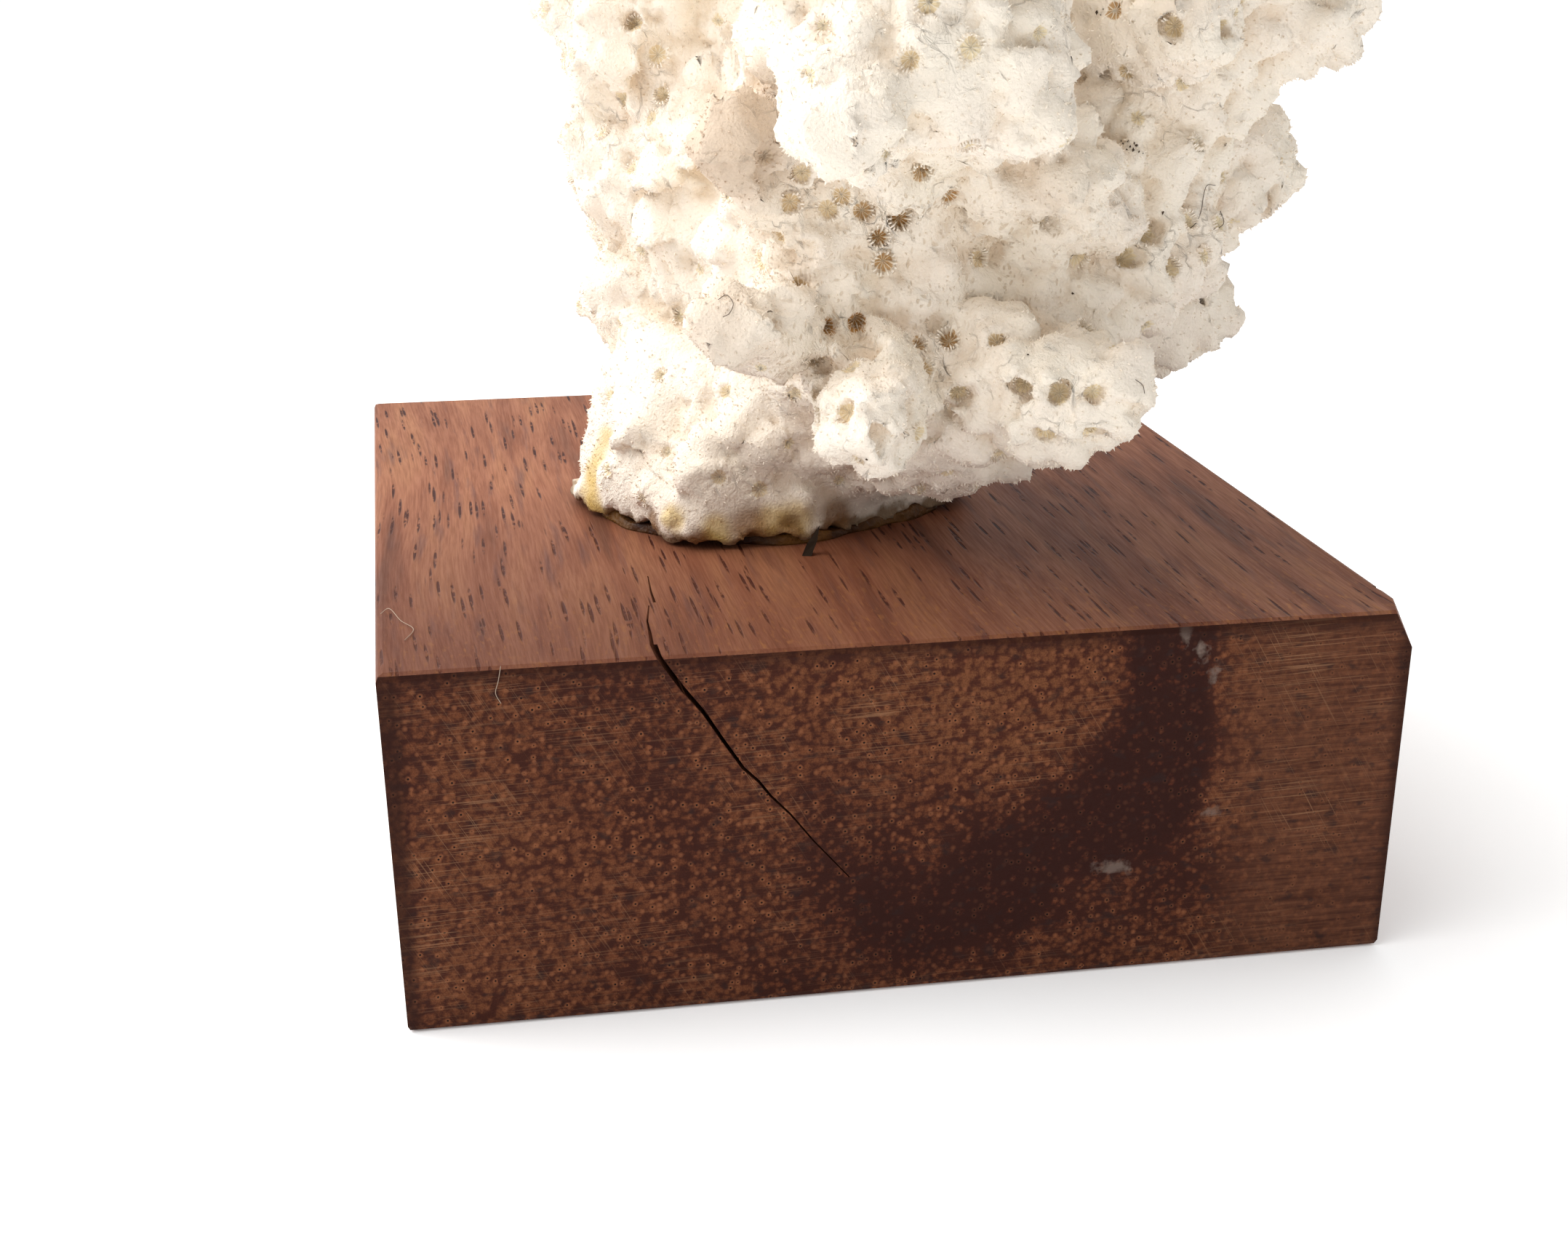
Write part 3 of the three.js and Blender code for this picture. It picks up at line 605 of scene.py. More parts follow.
def knob_limbs(branch, spine, owner):
    made = []
    for i in range(branch["knobs"]):
        share = branch["knob_from"] + (branch["knob_to"] - branch["knob_from"]) * (i + 0.5) / branch["knobs"]
        spot = catmull_rom(spine.rows, np.array([share]))[0]
        tangent, across, along = (v[0] for v in spine.axes(np.array([share])))
        turn = i * GOLDEN_ANGLE + owner
        out = across * math.cos(turn) + along * math.sin(turn)
        lean = unit(out * math.cos(KNOB_LEAN) + tangent * math.sin(KNOB_LEAN))
        shoot = i % SHOOT_EVERY == SHOOT_FIRST
        radius = np.interp(spread(i, owner), (0, 1), KNOB_RADIUS) * (SHOOT_WIDER if shoot else 1)
        reach = np.interp(spread(i, owner + 1), (0, 1), KNOB_REACH) * (SHOOT_LONGER if shoot else 1)
        base = spot[:3] + out * spot[3] * 0.94
        foot, tip = base - lean * KNOB_SUNK, base + lean * (reach - radius * 0.5)
        made.append(Limb([(*foot, radius), (*tip, radius * 0.78)], owner + i, owner))
    return made


limbs = []
for owner, branch in enumerate(BRANCHES):
    spine = Limb(branch["spine"], owner, owner)
    limbs.append(spine)
    limbs += [Limb(rows, owner + i + 1, owner) for i, rows in enumerate(branch["lobes"])]
    limbs += knob_limbs(branch, spine, owner)

branch_fields = [np.full(FIELD_COUNT, FAR, np.float32) for _ in BRANCHES]
for limb in limbs:
    box, near = limb_field(limb)
    branch_fields[limb.owner][box] = smooth_min(branch_fields[limb.owner][box], near, LIMB_BLEND)

skin_field = branch_fields[0]
for field in branch_fields[1:]:
    skin_field = smooth_min(skin_field, field, FORK_BLEND)


def blended(lattice, i, w):
    """Values between the numbers of a lattice, from the eight round each place. It repeats past its ends."""
    value = 0
    for corner in np.ndindex(2, 2, 2):
        share = np.prod(np.where(corner, w, 1 - w), axis=1)
        value = value + share * lattice[tuple(((i + corner) % lattice.shape).T)]
    return value


def field_at(field, points):
    """A coarse field's value at each of many points."""
    at = np.clip((points - FIELD_LOW) / FIELD_STEP, 0, np.array(FIELD_COUNT) - 1.001)
    i = at.astype(int)
    return blended(field, i, at - i)


def slope_at(field, points, step=0.8):
    ends = [field_at(field, points + way) - field_at(field, points - way) for way in np.eye(3) * step]
    return unit(np.stack(ends, -1))


# Where the corallites stand: first the cups that can be picked out in the picture, each with how dark it is
# from 0 to 1, then the scales and noses that can be, each with the way it points, in degrees up from the
# right.
CUPS_IN_VIEW = [
    (1238, 301, 1), (1209, 325, 0.9), (1215, 361, 0.8), (1185, 289, 0.7), (1157, 266, 0.5), (1137, 286, 0.3),
    (1086, 278, 0.4), (1076, 321, 0.35), (1049, 358, 0.2), (1100, 405, 0.6), (1130, 447, 1), (1176, 438, 1),
    (1120, 483, 0.5), (1049, 214, 0.1), (1101, 235, 0.15), (1261, 474, 0.75), (1305, 467, 0.75),
    (1372, 471, 0.4), (1175, 509, 0.2), (1269, 508, 0.5), (1317, 538, 0.15), (1409, 528, 0.08),
    (1457, 540, 0.12), (1501, 536, 0.1), (1438, 588, 0.15), (1496, 584, 0.05), (1256, 594, 0.15),
    (1188, 622, 0.25), (1168, 568, 0.15), (1301, 643, 0.1), (1374, 622, 0.05), (1533, 492, 0.1),
    (1266, 236, 0.75), (1307, 270, 0.9), (1343, 355, 0.35), (1480, 352, 0.15), (1570, 320, 0.15),
    (1543, 357, 0.1), (1605, 368, 0.1), (1654, 352, 0.1), (1673, 310, 0.1), (1630, 306, 0.15),
    (1541, 14, 0.8), (1552, 92, 0.4), (1617, 35, 0.2), (1669, 35, 0.15), (1622, 110, 0.1), (1253, 81, 0.3),
    (1331, 65, 0.1), (1275, 5, 0.2), (905, 75, 0.3), (911, 129, 0.3), (898, 164, 0.2), (857, 135, 0.2),
    (875, 34, 0.3), (1089, 111, 0.2), (990, 655, 0.2), (1043, 671, 0.2), (1003, 539, 0.1),
]
SCALES_IN_VIEW = [
    (1224, 248, 100), (1430, 400, -35), (1392, 418, -35), (1296, 418, -50), (1345, 402, -45),
    (1455, 350, -15), (1478, 385, -35), (1540, 325, 5), (1600, 316, 10), (1622, 352, -10), (1584, 385, -60),
    (1645, 398, -60), (1680, 330, -10), (1440, 240, 160), (1490, 285, -30), (1505, 240, 0), (1125, 380, 170),
    (1075, 345, 190), (1020, 285, 200), (1000, 345, 200), (1700, 75, 10), (1740, 45, 0), (1705, 97, -40),
    (1645, 85, -50), (1600, 70, -120), (1590, 20, 180), (1650, 20, 100), (1180, 545, 120), (1225, 545, 60),
    (1160, 600, 200), (1245, 620, -40), (1200, 635, -90), (1350, 520, 30), (1395, 500, 60), (1440, 500, 60),
    (1480, 500, 40), (1350, 570, -30), (1400, 575, -30), (1470, 570, 0), (1530, 530, 20), (1530, 570, -20),
    (1450, 625, -60), (1400, 640, -80), (1340, 620, -60), (1500, 610, -50), (1555, 500, 60), (985, 200, 150),
    (1000, 240, 200), (1010, 165, 100), (975, 440, 180), (1000, 420, 110), (1010, 470, 220), (1620, 430, 0),
    (1650, 450, 0), (1480, 175, -40), (1440, 190, -70), (1400, 200, -80), (1350, 205, -90), (1160, 200, 230),
    (1120, 180, 190),
]

# How those are found, in pixels and millimetres: the stretch of each ray that is looked at and its step, the
# length of a scale's arrow, how often a place is moved onto the skin, and how near it has to be then.
RAY_FROM, RAY_TO, RAY_STEP = 100, 215, 0.25
ARROW_PIXELS = 20
SETTLE_ROUNDS, ON_SKIN = 4, 0.1

# The others are tried at random places on every limb that lie near the whole skin and clear of the foot.
TRIES_PER_MM2, NEAR_SKIN = 1.3, 1.6
CUPS_CLEAR, TIPS_CLEAR = 1.6, 3.0

# How far apart the cups stand, in millimetres: those placed above, the one on each tip, and then the others,
# by the girth of the limb that they stand on.
SEEN_SPACING, SEEN_SCALE_SPACING, TIP_SPACING = 0.9, 1.2, 2.4
GIRTHS, PLAIN_SPACING, SCALE_SPACING = (3, 9, 12), (3.2, 3.9, 4.3), (2.0, 2.5, 2.9)
CELL = 4.0

CAMERA_MM = np.array(CAMERA_AT) / MM


def first_hit(pixel):
    """Where the camera's ray through a pixel meets the skin, or None."""
    ray = np.array(ray_through(pixel))
    points = CAMERA_MM + ray * np.arange(RAY_FROM, RAY_TO, RAY_STEP)[:, None]
    inside = (field_at(skin_field, points) < 0) & (points[:, 2] > FOOT_Z)
    return points[inside.argmax()] if inside.any() else None


def settle(points):
    """Moves points onto the skin, and says which of them are truly on it."""
    points = np.array(points, float)
    for _ in range(SETTLE_ROUNDS):
        points -= field_at(skin_field, points)[:, None] * slope_at(skin_field, points)
    return points, np.abs(field_at(skin_field, points)) < ON_SKIN


def growth_at(points):
    """The direction in which the nearest limb grows, and that limb's radius there."""
    best = np.full(len(points), 1e9)
    toward = np.zeros((len(points), 3))
    girth = np.zeros(len(points))
    for limb in limbs:
        gaps = np.linalg.norm(points[:, None] - limb.place[None], axis=2) - limb.radius
        i = gaps.argmin(1)
        gap = gaps[np.arange(len(points)), i]
        nearer = gap < best
        best = np.where(nearer, gap, best)
        toward[nearer] = limb.tangent[i[nearer]]
        girth[nearer] = limb.radius[i[nearer]]
    return toward, girth


class Corallites:
    """The places of the cups and what is known of each. One that would stand too near another is left out."""

    def __init__(self):
        self.taken = {}
        self.rows = []

    def add(self, place, spacing, **facts):
        cell = place // CELL
        for near in np.ndindex(3, 3, 3):
            for other in self.taken.get(tuple(cell + near - 1), ()):
                if np.linalg.norm(other - place) < spacing:
                    return
        self.taken.setdefault(tuple(cell), []).append(place)
        self.rows.append({"place": place, **facts})


cups = Corallites()
for x, y, dark in CUPS_IN_VIEW:
    hit = first_hit((x, y))
    if hit is not None:
        cups.add(settle([hit])[0][0], SEEN_SPACING, kind="seen", dust=dark)
for x, y, way in SCALES_IN_VIEW:
    hit = first_hit((x, y))
    if hit is not None:
        way = math.radians(way)
        ahead = ray_through((x + ARROW_PIXELS * math.cos(way), y - ARROW_PIXELS * math.sin(way)))
        arrow = np.array(ahead) - np.array(ray_through((x, y)))
        cups.add(settle([hit])[0][0], SEEN_SCALE_SPACING, kind="scale", toward=unit(arrow))

tips = np.array([limb.place[-1] + limb.tangent[-1] * limb.radius[-1] for limb in limbs])
tips, on_skin = settle(tips)
for place, limb, fine in zip(tips, limbs, on_skin):
    if fine and place[2] > FOOT_Z + TIPS_CLEAR:
        cups.add(place, TIP_SPACING, kind="tip", toward=limb.tangent[-1])

tries = []
for limb in limbs:
    count = int(TRIES_PER_MM2 * limb.length * 2 * math.pi * limb.radius.mean())
    share, turn = rng.random(count), rng.random(count) * 2 * math.pi
    spots = catmull_rom(limb.rows, share)
    _, across, along = limb.axes(share)
    out = across * np.cos(turn)[:, None] + along * np.sin(turn)[:, None]
    tries.append(spots[:, :3] + out * spots[:, 3:] * limb.swell(turn, share * limb.length)[:, None])
tries = np.concatenate(tries)
tries = tries[np.abs(field_at(skin_field, tries)) < NEAR_SKIN]
tries, on_skin = settle(tries)
tries = rng.permutation(tries[on_skin & (tries[:, 2] > FOOT_Z + CUPS_CLEAR)])
_, girth = growth_at(tries)
for place, radius in zip(tries, girth):
    cups.add(place, np.interp(radius, GIRTHS, PLAIN_SPACING), kind="plain")
for place, radius in zip(tries[::-1], girth[::-1]):
    cups.add(place, np.interp(radius, GIRTHS, SCALE_SPACING), kind="scale")


def share_of(low, high, value):
    return np.clip((value - low) / (high - low), 0, 1)


def between(ends, share):
    return ends[0] + (ends[1] - ends[0]) * share


# A corallite's own shape. A cup on the stem lies flush with the skin, one on a thin lobe stands out and leans
# to the tip. A scale is a nose of skin that hides its cup. Sizes run from the flattest one to the one that
# stands out most.
CUP_RIM_RADIUS = (0.95, 0.9)
CUP_HEIGHT = (0.05, 1.1)
CUP_TAPER = (0.6, 0.5)
CUP_MOUTH = (0.54, 0.68)
CUP_DEPTH = (0.3, 0.55)
PLAIN_MOUTH = 0.75
CUP_LEAN = (0.1, 0.8)
SCALE_RADIUS = (0.6, 1.0)
SCALE_HEIGHT = (0.3, 1.8)
SCALE_LEAN = (0.4, 1.15)
MOUTH_FUNNEL = 0.25
CUP_SUNK = 2.0
CUP_BLEND = 0.35
MOUTH_BLEND = 0.2
CUP_ROUND, SCALE_ROUND = 0.3, 0.6

# What makes a cup stand out: a slender limb, height above the block, and chance. Each range is from flat to
# standing.
STANDING_GIRTH, STANDING_Z = (11, 4), (34, 60)
GIRTH_COUNTS, HEIGHT_COUNTS, CHANCE_COUNTS = 0.7, 0.3, 0.6
SEEN_STANDING, POINTED_STANDING = 0.3, (0.6, 1.0)
MOST_DUST = 0.18

places = np.array([cup["place"] for cup in cups.rows])
kinds = np.array([cup["kind"] for cup in cups.rows])
toward, girth = growth_at(places)
outward = slope_at(skin_field, places)
chance = rng.random((6, len(places)))
by_girth, by_height = share_of(*STANDING_GIRTH, girth), share_of(*STANDING_Z, places[:, 2])
standing = by_girth * GIRTH_COUNTS + by_height * HEIGHT_COUNTS + CHANCE_COUNTS * (chance[0] - 0.5)
standing = np.clip(standing, 0, 1)
standing[kinds == "seen"] *= SEEN_STANDING
dust = MOST_DUST * chance[5]
for i, cup in enumerate(cups.rows):
    dust[i] = cup.get("dust", dust[i])
    if "toward" in cup:
        toward[i] = cup["toward"]
        standing[i] = between(POINTED_STANDING, chance[0, i])
is_scale = kinds == "scale"

lean = np.where(kinds == "tip", 0, between(CUP_LEAN, standing))
lean = np.where(is_scale, between(SCALE_LEAN, chance[4]), lean)
upward = toward - (toward * outward).sum(1)[:, None] * outward
upward = upward / np.maximum(np.linalg.norm(upward, axis=1), 0.2)[:, None]
axes = unit(outward * np.cos(lean)[:, None] + upward * np.sin(lean)[:, None])
heights = np.where(is_scale, between(SCALE_HEIGHT, standing), between(CUP_HEIGHT, standing))
heights = heights * (0.75 + 0.5 * chance[1])
rims = between(CUP_RIM_RADIUS, standing) * (0.9 + 0.2 * chance[2])
rims = np.where(is_scale, between(SCALE_RADIUS, chance[3]), rims)
tapers = between(CUP_TAPER, standing)
mouths = between(CUP_MOUTH, chance[3]) * np.where(kinds == "seen", 1, PLAIN_MOUTH)
depths = between(CUP_DEPTH, dust) * np.where(kinds == "seen", 1, PLAIN_MOUTH)
mouth_middles = places + axes * heights[:, None]
aside = np.where(np.abs(axes @ (0, 0, 1))[:, None] < 0.9, (0.0, 0.0, 1.0), (1.0, 0.0, 0.0))
tops = unit(aside - (aside * axes).sum(1)[:, None] * axes)
sides = np.cross(tops, axes)

NOISE_COUNT = 48
noise_lattice = rng.standard_normal((NOISE_COUNT,) * 3).astype(np.float32)


def grain(points, size):
    """Smooth random lumps of about the given size, from about -1 to 1, at many points."""
    at = points / size
    i = np.floor(at).astype(int)
    w = at - i
    return blended(noise_lattice, i, w * w * (3 - 2 * w))


def cubic_weights(k, low, step, count):
    """How much each fine grid line takes from each coarse one, along one axis."""
    at = (low + step * np.arange(count) - FIELD_LOW[k]) / FIELD_STEP
    i = np.floor(at).astype(int)
    w = at - i
    taps = [-0.5 * w + w ** 2 - 0.5 * w ** 3, 1 - 2.5 * w ** 2 + 1.5 * w ** 3,
            0.5 * w + 2 * w ** 2 - 1.5 * w ** 3, -0.5 * w ** 2 + 0.5 * w ** 3]
    weights = np.zeros((count, FIELD_COUNT[k]), np.float32)
    for j, tap in enumerate(taps):
        np.add.at(weights, (np.arange(count), np.clip(i + j - 1, 0, FIELD_COUNT[k] - 1)), tap)
    return weights


def refined(field, weights):
    """A coarse field carried over to a fine grid."""
    for k in range(3):
        used = np.flatnonzero(weights[k].any(0))
        field = np.tensordot(field[used[0]:used[-1] + 1], weights[k][:, used[0]:used[-1] + 1], (0, 1))
    return field


def add_cup(fine, low, step, i):
    """Raises one cup's wall on the fine grid and sinks its mouth."""
    place, axis, height, rim = places[i], axes[i], heights[i], rims[i]
    reach = max(height, CUP_SUNK) + rim + CUP_BLEND
    first = np.maximum(((place - reach - low) / step).astype(int), 0)
    last = np.minimum(((place + reach - low) / step).astype(int) + 2, fine.shape)
    if (first >= last).any():
        return
    x, y, z = (low[k] + step * np.arange(first[k], last[k]) - place[k] for k in range(3))
    x, y, z = x[:, None, None], y[None, :, None], z[None, None, :]
    along = x * axis[0] + y * axis[1] + z * axis[2]
    aside = np.sqrt(np.maximum(x * x + y * y + z * z - along * along, 0))
    box = tuple(slice(first[k], last[k]) for k in range(3))
    corner = SCALE_ROUND if is_scale[i] else CUP_ROUND
    wide = aside - (rim + tapers[i] * (height - along)) + corner
    tall = along - height + corner
    wall = np.minimum(np.maximum(wide, tall), 0) + np.hypot(np.maximum(wide, 0), np.maximum(tall, 0)) - corner
    wall = np.maximum(wall, -CUP_SUNK - along)
    fine[box] = smooth_min(fine[box], wall, CUP_BLEND)
    if not is_scale[i]:
        mouth = np.maximum(aside - mouths[i] - MOUTH_FUNNEL * (along - height), height - depths[i] - along)
        fine[box] = -smooth_min(-fine[box], mouth, MOUTH_BLEND)


PLUG_SLOPE = 3.0
PLUG_MARGIN = 0.5
SURFACE_THRIFT = 0.2


def skeleton_surface(owner, step):
    """One piece's skin as points and faces: its own stretch of the coral, with a plug that ends inside its
    neighbours where it forks off from them. Its lower edge is uneven and lies in the glue."""
    own = branch_fields[owner]
    others = np.minimum.reduce([field for i, field in enumerate(branch_fields) if i != owner])
    beyond = own - others
    near = np.argwhere(own < CUP_HEIGHT[1] + 1)
    low = FIELD_LOW + near.min(0) * FIELD_STEP
    high = FIELD_LOW + near.max(0) * FIELD_STEP
    count = np.ceil((high - low) / step).astype(int) + 1
    weights = [cubic_weights(k, low[k], step, count[k]) for k in range(3)]
    fine = refined(skin_field, weights)
    plug = np.maximum(refined(beyond, weights) - PLUG_MARGIN, 0) * PLUG_SLOPE
    inside = ((places > low - 4) & (places < high + 4)).all(1)
    for i in [*np.flatnonzero(inside & is_scale), *np.flatnonzero(inside & ~is_scale)]:
        add_cup(fine, low, step, i)
    fine = fine + plug
    x, y, z = (low[k] + step * np.arange(count[k]) for k in range(3))
    # The lower edge rises and falls by about half a millimetre, as it would where glue has run up it.
    ground = FOOT_Z - 0.3 + 0.5 * np.sin(0.9 * x[:, None] + 1) * np.sin(1.1 * y[None, :])
    ripple = 0.35 * np.sin(2.3 * x[:, None]) * np.sin(2.1 * y[None, :] + 1)
    ground = np.maximum(ground + ripple, BLOCK_TOP_Z + 0.1)
    fine = np.maximum(fine, ground[:, :, None] - z)
    grid = openvdb.FloatGrid(3 * step)
    grid.copyFromArray(np.clip(fine, -3 * step, 3 * step).astype(np.float32))
    grid.transform = openvdb.createLinearTransform([[step, 0, 0, 0], [0, step, 0, 0], [0, 0, step, 0],
                                                    [*low, 1]])
    return grid.convertToPolygons(0.0, SURFACE_THRIFT)


# The septa: thin upright plates stand in each cup like the spokes of a wheel. In a dark cup a few reach far
# in, in the others they only fringe the mouth, and all of them run over its edge as teeth. Millimetres.
SEPTA = 10
TEETH = 20
SEPTUM_THICK = 0.1
LONG_INNER, SHORT_INNER, TOOTH_INNER = (0.85, 0.45), (0.9, 0.8), (0.96, 0.94)
SEPTUM_TOOTH = (0.0, 0.12)
TOOTH_OUTER = (0.06, 0.3)
TURN_STRAY, REACH_STRAY = 0.18, 0.06


def septa_of(chosen):
    """The septa and teeth of the chosen cups, as points, faces, and the cup that each point is on."""
    shape = (len(chosen), TEETH)
    order = np.arange(TEETH)
    turn = (order + rng.normal(0, TURN_STRAY, shape)) * 2 * math.pi / TEETH
    mouth, stand, dark = (values[chosen][:, None] for values in (mouths, standing, dust))
    inner = np.where(order % 4 == 0, between(LONG_INNER, dark),
                     np.where(order % 4 == 2, between(SHORT_INNER, dark), between(TOOTH_INNER, dark)))
    inner = mouth * (inner + rng.normal(0, REACH_STRAY, shape))
    tooth = between(SEPTUM_TOOTH, rng.random(shape)) * (0.5 + 0.8 * stand)
    outer = mouth + between(TOOTH_OUTER, rng.random(shape))
    # The four corners of each plate, as distances from the cup's axis and heights over its mouth.
    out = np.stack([inner, (mouth + inner) / 2 + 0.1, outer, outer + 0.05], -1)
    rise = np.stack([-0.5 + 0 * turn, tooth - 0.08, tooth - 0.05, 0 * turn - 0.4], -1)
    spoke = (sides[chosen][:, None] * np.cos(turn)[..., None]
             + tops[chosen][:, None] * np.sin(turn)[..., None])
    across = np.cross(axes[chosen][:, None], spoke)
    flat = (mouth_middles[chosen][:, None, None] + spoke[:, :, None] * out[..., None]
            + axes[chosen][:, None, None] * rise[..., None])
    half = across[:, :, None] * (SEPTUM_THICK / 2)
    points = np.concatenate([flat + half, flat - half], 2).reshape(-1, 3)
    start = np.arange(len(chosen) * TEETH)[:, None] * 8
    fours = [start + np.arange(4)[::-1], start + np.arange(4, 8)]
    fours += [start + np.array([k, (k + 1) % 4, (k + 1) % 4 + 4, k + 4]) for k in range(4)]
    return points, np.concatenate(fours), np.repeat(chosen, TEETH * 8)


SEPTA_BELOW_Z = 68.0
SEPTA_FACING = -0.3
to_camera = unit(CAMERA_MM - places)
with_septa = (places[:, 2] < SEPTA_BELOW_Z) & ((outward * to_camera).sum(1) > SEPTA_FACING) & ~is_scale

cup_finder = kdtree.KDTree(int((~is_scale).sum()))
for i in np.flatnonzero(~is_scale):
    cup_finder.insert(mouth_middles[i], i)
cup_finder.balance()

# Spinules: little spikes that roughen the skin and fringe its edges. They stand thickest along the outline of
# the picture's side, where they show against the light. Counts are for each square millimetre, sizes in
# millimetres.
SPINULES_AT_OUTLINE, SPINULES_IN_VIEW, SPINULES_ELSEWHERE = 9.0, 2.5, 1.0
SPINULES_FACING = -0.25
AT_OUTLINE, IN_VIEW = 0.1, 0.6
SPINULE_RADIUS = 0.11
SPINULE_HEIGHT = (0.05, 0.3)
SPINULE_SUNK = 0.04
SPINULE_TILT = 0.35


def spinules_of(points, threes, fours):
    """Three-sided spikes on the skin, as points, faces, and the skin's point that each of theirs is on."""
    fours = np.concatenate([fours, threes[:, (0, 1, 2, 2)]])
    corners = points[fours]
    area = np.cross(corners[:, 2] - corners[:, 0], corners[:, 3] - corners[:, 1]) / 2
    size = np.linalg.norm(area, axis=1)
    normals = area / np.maximum(size, 1e-6)[:, None]
    facing = (normals * unit(CAMERA_MM - corners[:, 0])).sum(1)
    in_view = (facing > SPINULES_FACING) & (corners[:, 0, 2] < SEPTA_BELOW_Z)
    seen = between((SPINULES_AT_OUTLINE, SPINULES_IN_VIEW), share_of(AT_OUTLINE, IN_VIEW, facing))
    wanted = size * np.where(in_view, seen, SPINULES_ELSEWHERE) * (corners[:, 0, 2] > FOOT_Z + 1)
    count = np.floor(wanted + rng.random(len(wanted))).astype(int)
    on = np.repeat(np.arange(len(fours)), count)
    w, v = rng.random((2, len(on), 1))
    a, b, c, d = (corners[on, k] for k in range(4))
    place = (a * (1 - w) + b * w) * (1 - v) + (d * (1 - w) + c * w) * v
    up = normals[on]
    side = unit(b - a + 1e-9)
    across = np.cross(up, side)
    lean = rng.normal(0, SPINULE_TILT, up.shape)
    tip = unit(up + lean) * between(SPINULE_HEIGHT, rng.random((len(on), 1)) ** 2)
    turn = rng.random(len(on))[:, None] * 2 * math.pi + np.arange(3) * 2 * math.pi / 3
    ring = side[:, None] * np.cos(turn)[..., None] + across[:, None] * np.sin(turn)[..., None]
    foot = place[:, None] + ring * SPINULE_RADIUS - SPINULE_SUNK * up[:, None]
    spikes = np.concatenate([foot, (place + tip)[:, None]], 1)
    start = np.arange(len(on))[:, None] * 4
    threes = np.concatenate([start + np.array(face) for face in ((0, 1, 3), (1, 2, 3), (2, 0, 3))])
    return spikes.reshape(-1, 3), threes, np.repeat(fours[on, 0], 4)


# The skin's own roughness: lumps of about these sizes, and how far they stand out, in millimetres.
SKIN_LUMPS = ((3.0, 0.2), (1.5, 0.16), (0.8, 0.17), (0.45, 0.13))


def mesh_of(name, points, faces):
    """A mesh from points in millimetres and from arrays of faces, one array for each number of sides."""
    mesh = bpy.data.meshes.new(name)
    mesh.vertices.add(len(points))
    mesh.vertices.foreach_set("co", (points * MM).astype(np.float32).ravel())
    corners = np.concatenate([group.ravel() for group in faces])
    mesh.loops.add(len(corners))
    mesh.loops.foreach_set("vertex_index", corners.astype(np.int32))
    counts = np.concatenate([np.full(len(group), group.shape[1]) for group in faces])
    mesh.polygons.add(len(counts))
    mesh.polygons.foreach_set("loop_start", (np.cumsum(counts) - counts).astype(np.int32))
    mesh.update(calc_edges=True)
    return mesh


def note(mesh, name, values):
    """Keeps one number or one vector for each point of a mesh, for its material to read."""
    kind, field = ("FLOAT", "value") if values.ndim == 1 else ("FLOAT_VECTOR", "vector")
    mesh.attributes.new(name, kind, "POINT").data.foreach_set(field, values.astype(np.float32).ravel())


# Bleached aragonite, grown rather than made: chalky and cream, with tan painted into its hollows as shade,
# and brown dust in the cups that grows darker the deeper it lies.
aragonite, tree, shader = new_material("bleached_aragonite")
coordinates = put("TexCoord", {}).node.outputs
place = put("VectorMath", {0: coordinates["Object"], "Scale": 1000}, "SCALE")
noted = {name: put("Attribute", {}, attribute_name=name).node.outputs
         for name in ("cup", "cup_size", "hollow", "blade")}
in_cup = put("SeparateXYZ", {"Vector": noted["cup"]["Vector"]}).node.outputs
cup_size = put("SeparateXYZ", {"Vector": noted["cup_size"]["Vector"]}).node.outputs
blade = noted["blade"]["Fac"]
radius = cup_size["Y"]
turn = put("Math", {0: in_cup["Y"], 1: in_cup["X"]}, "ARCTAN2")
frayed = put("TexNoise", {"Vector": place, "Scale": 3.5, "Detail": 3})

# Inside a cup: dark between the septa, which show as pale spokes.
half_turns = put("Math", {0: turn, 1: SEPTA / 2}, "MULTIPLY")
wave = put("Math", {0: half_turns}, "SINE")
wave = put("Math", {0: wave}, "ABSOLUTE")
from_septum = put("Math", {0: wave, 1: radius}, "MULTIPLY")
petal = put("MapRange", {"Value": from_septum, "From Min": 0.04, "From Max": 0.2})
not_blade = put("Math", {0: 1, 1: blade}, "SUBTRACT")
petal = put("Math", {0: petal, 1: not_blade}, "MULTIPLY")
mouth_edge = put("Math", {0: frayed, 1: 0.5, 2: -0.27}, "MULTIPLY_ADD")
mouth_edge = put("Math", {0: cup_size["X"], 1: mouth_edge}, "ADD")
past_mouth = put("Math", {0: mouth_edge, 1: radius}, "SUBTRACT")
in_mouth = put("MapRange", {"Value": past_mouth, "From Min": -0.06, "From Max": 0.08}, "SMOOTHSTEP")
# The floor of a cup is darker the deeper it lies, and browner with the cup's dust.
deep = put("MapRange", {"Value": in_cup["Z"], "From Min": -0.1, "From Max": -0.9})
depth_and_dust = put("Math", {0: deep, 1: 0.15, 2: cup_size["Z"]}, "MULTIPLY_ADD")
floor_colour = put("Mix", {0: depth_and_dust, 6: "#f2e1bc", 7: "#b58751"})
septum_colour = put("Mix", {0: deep, 6: "#f0e4d0", 7: "#dcc5a2"})
mouth_colour = put("Mix", {0: petal, 6: septum_colour, 7: floor_colour})
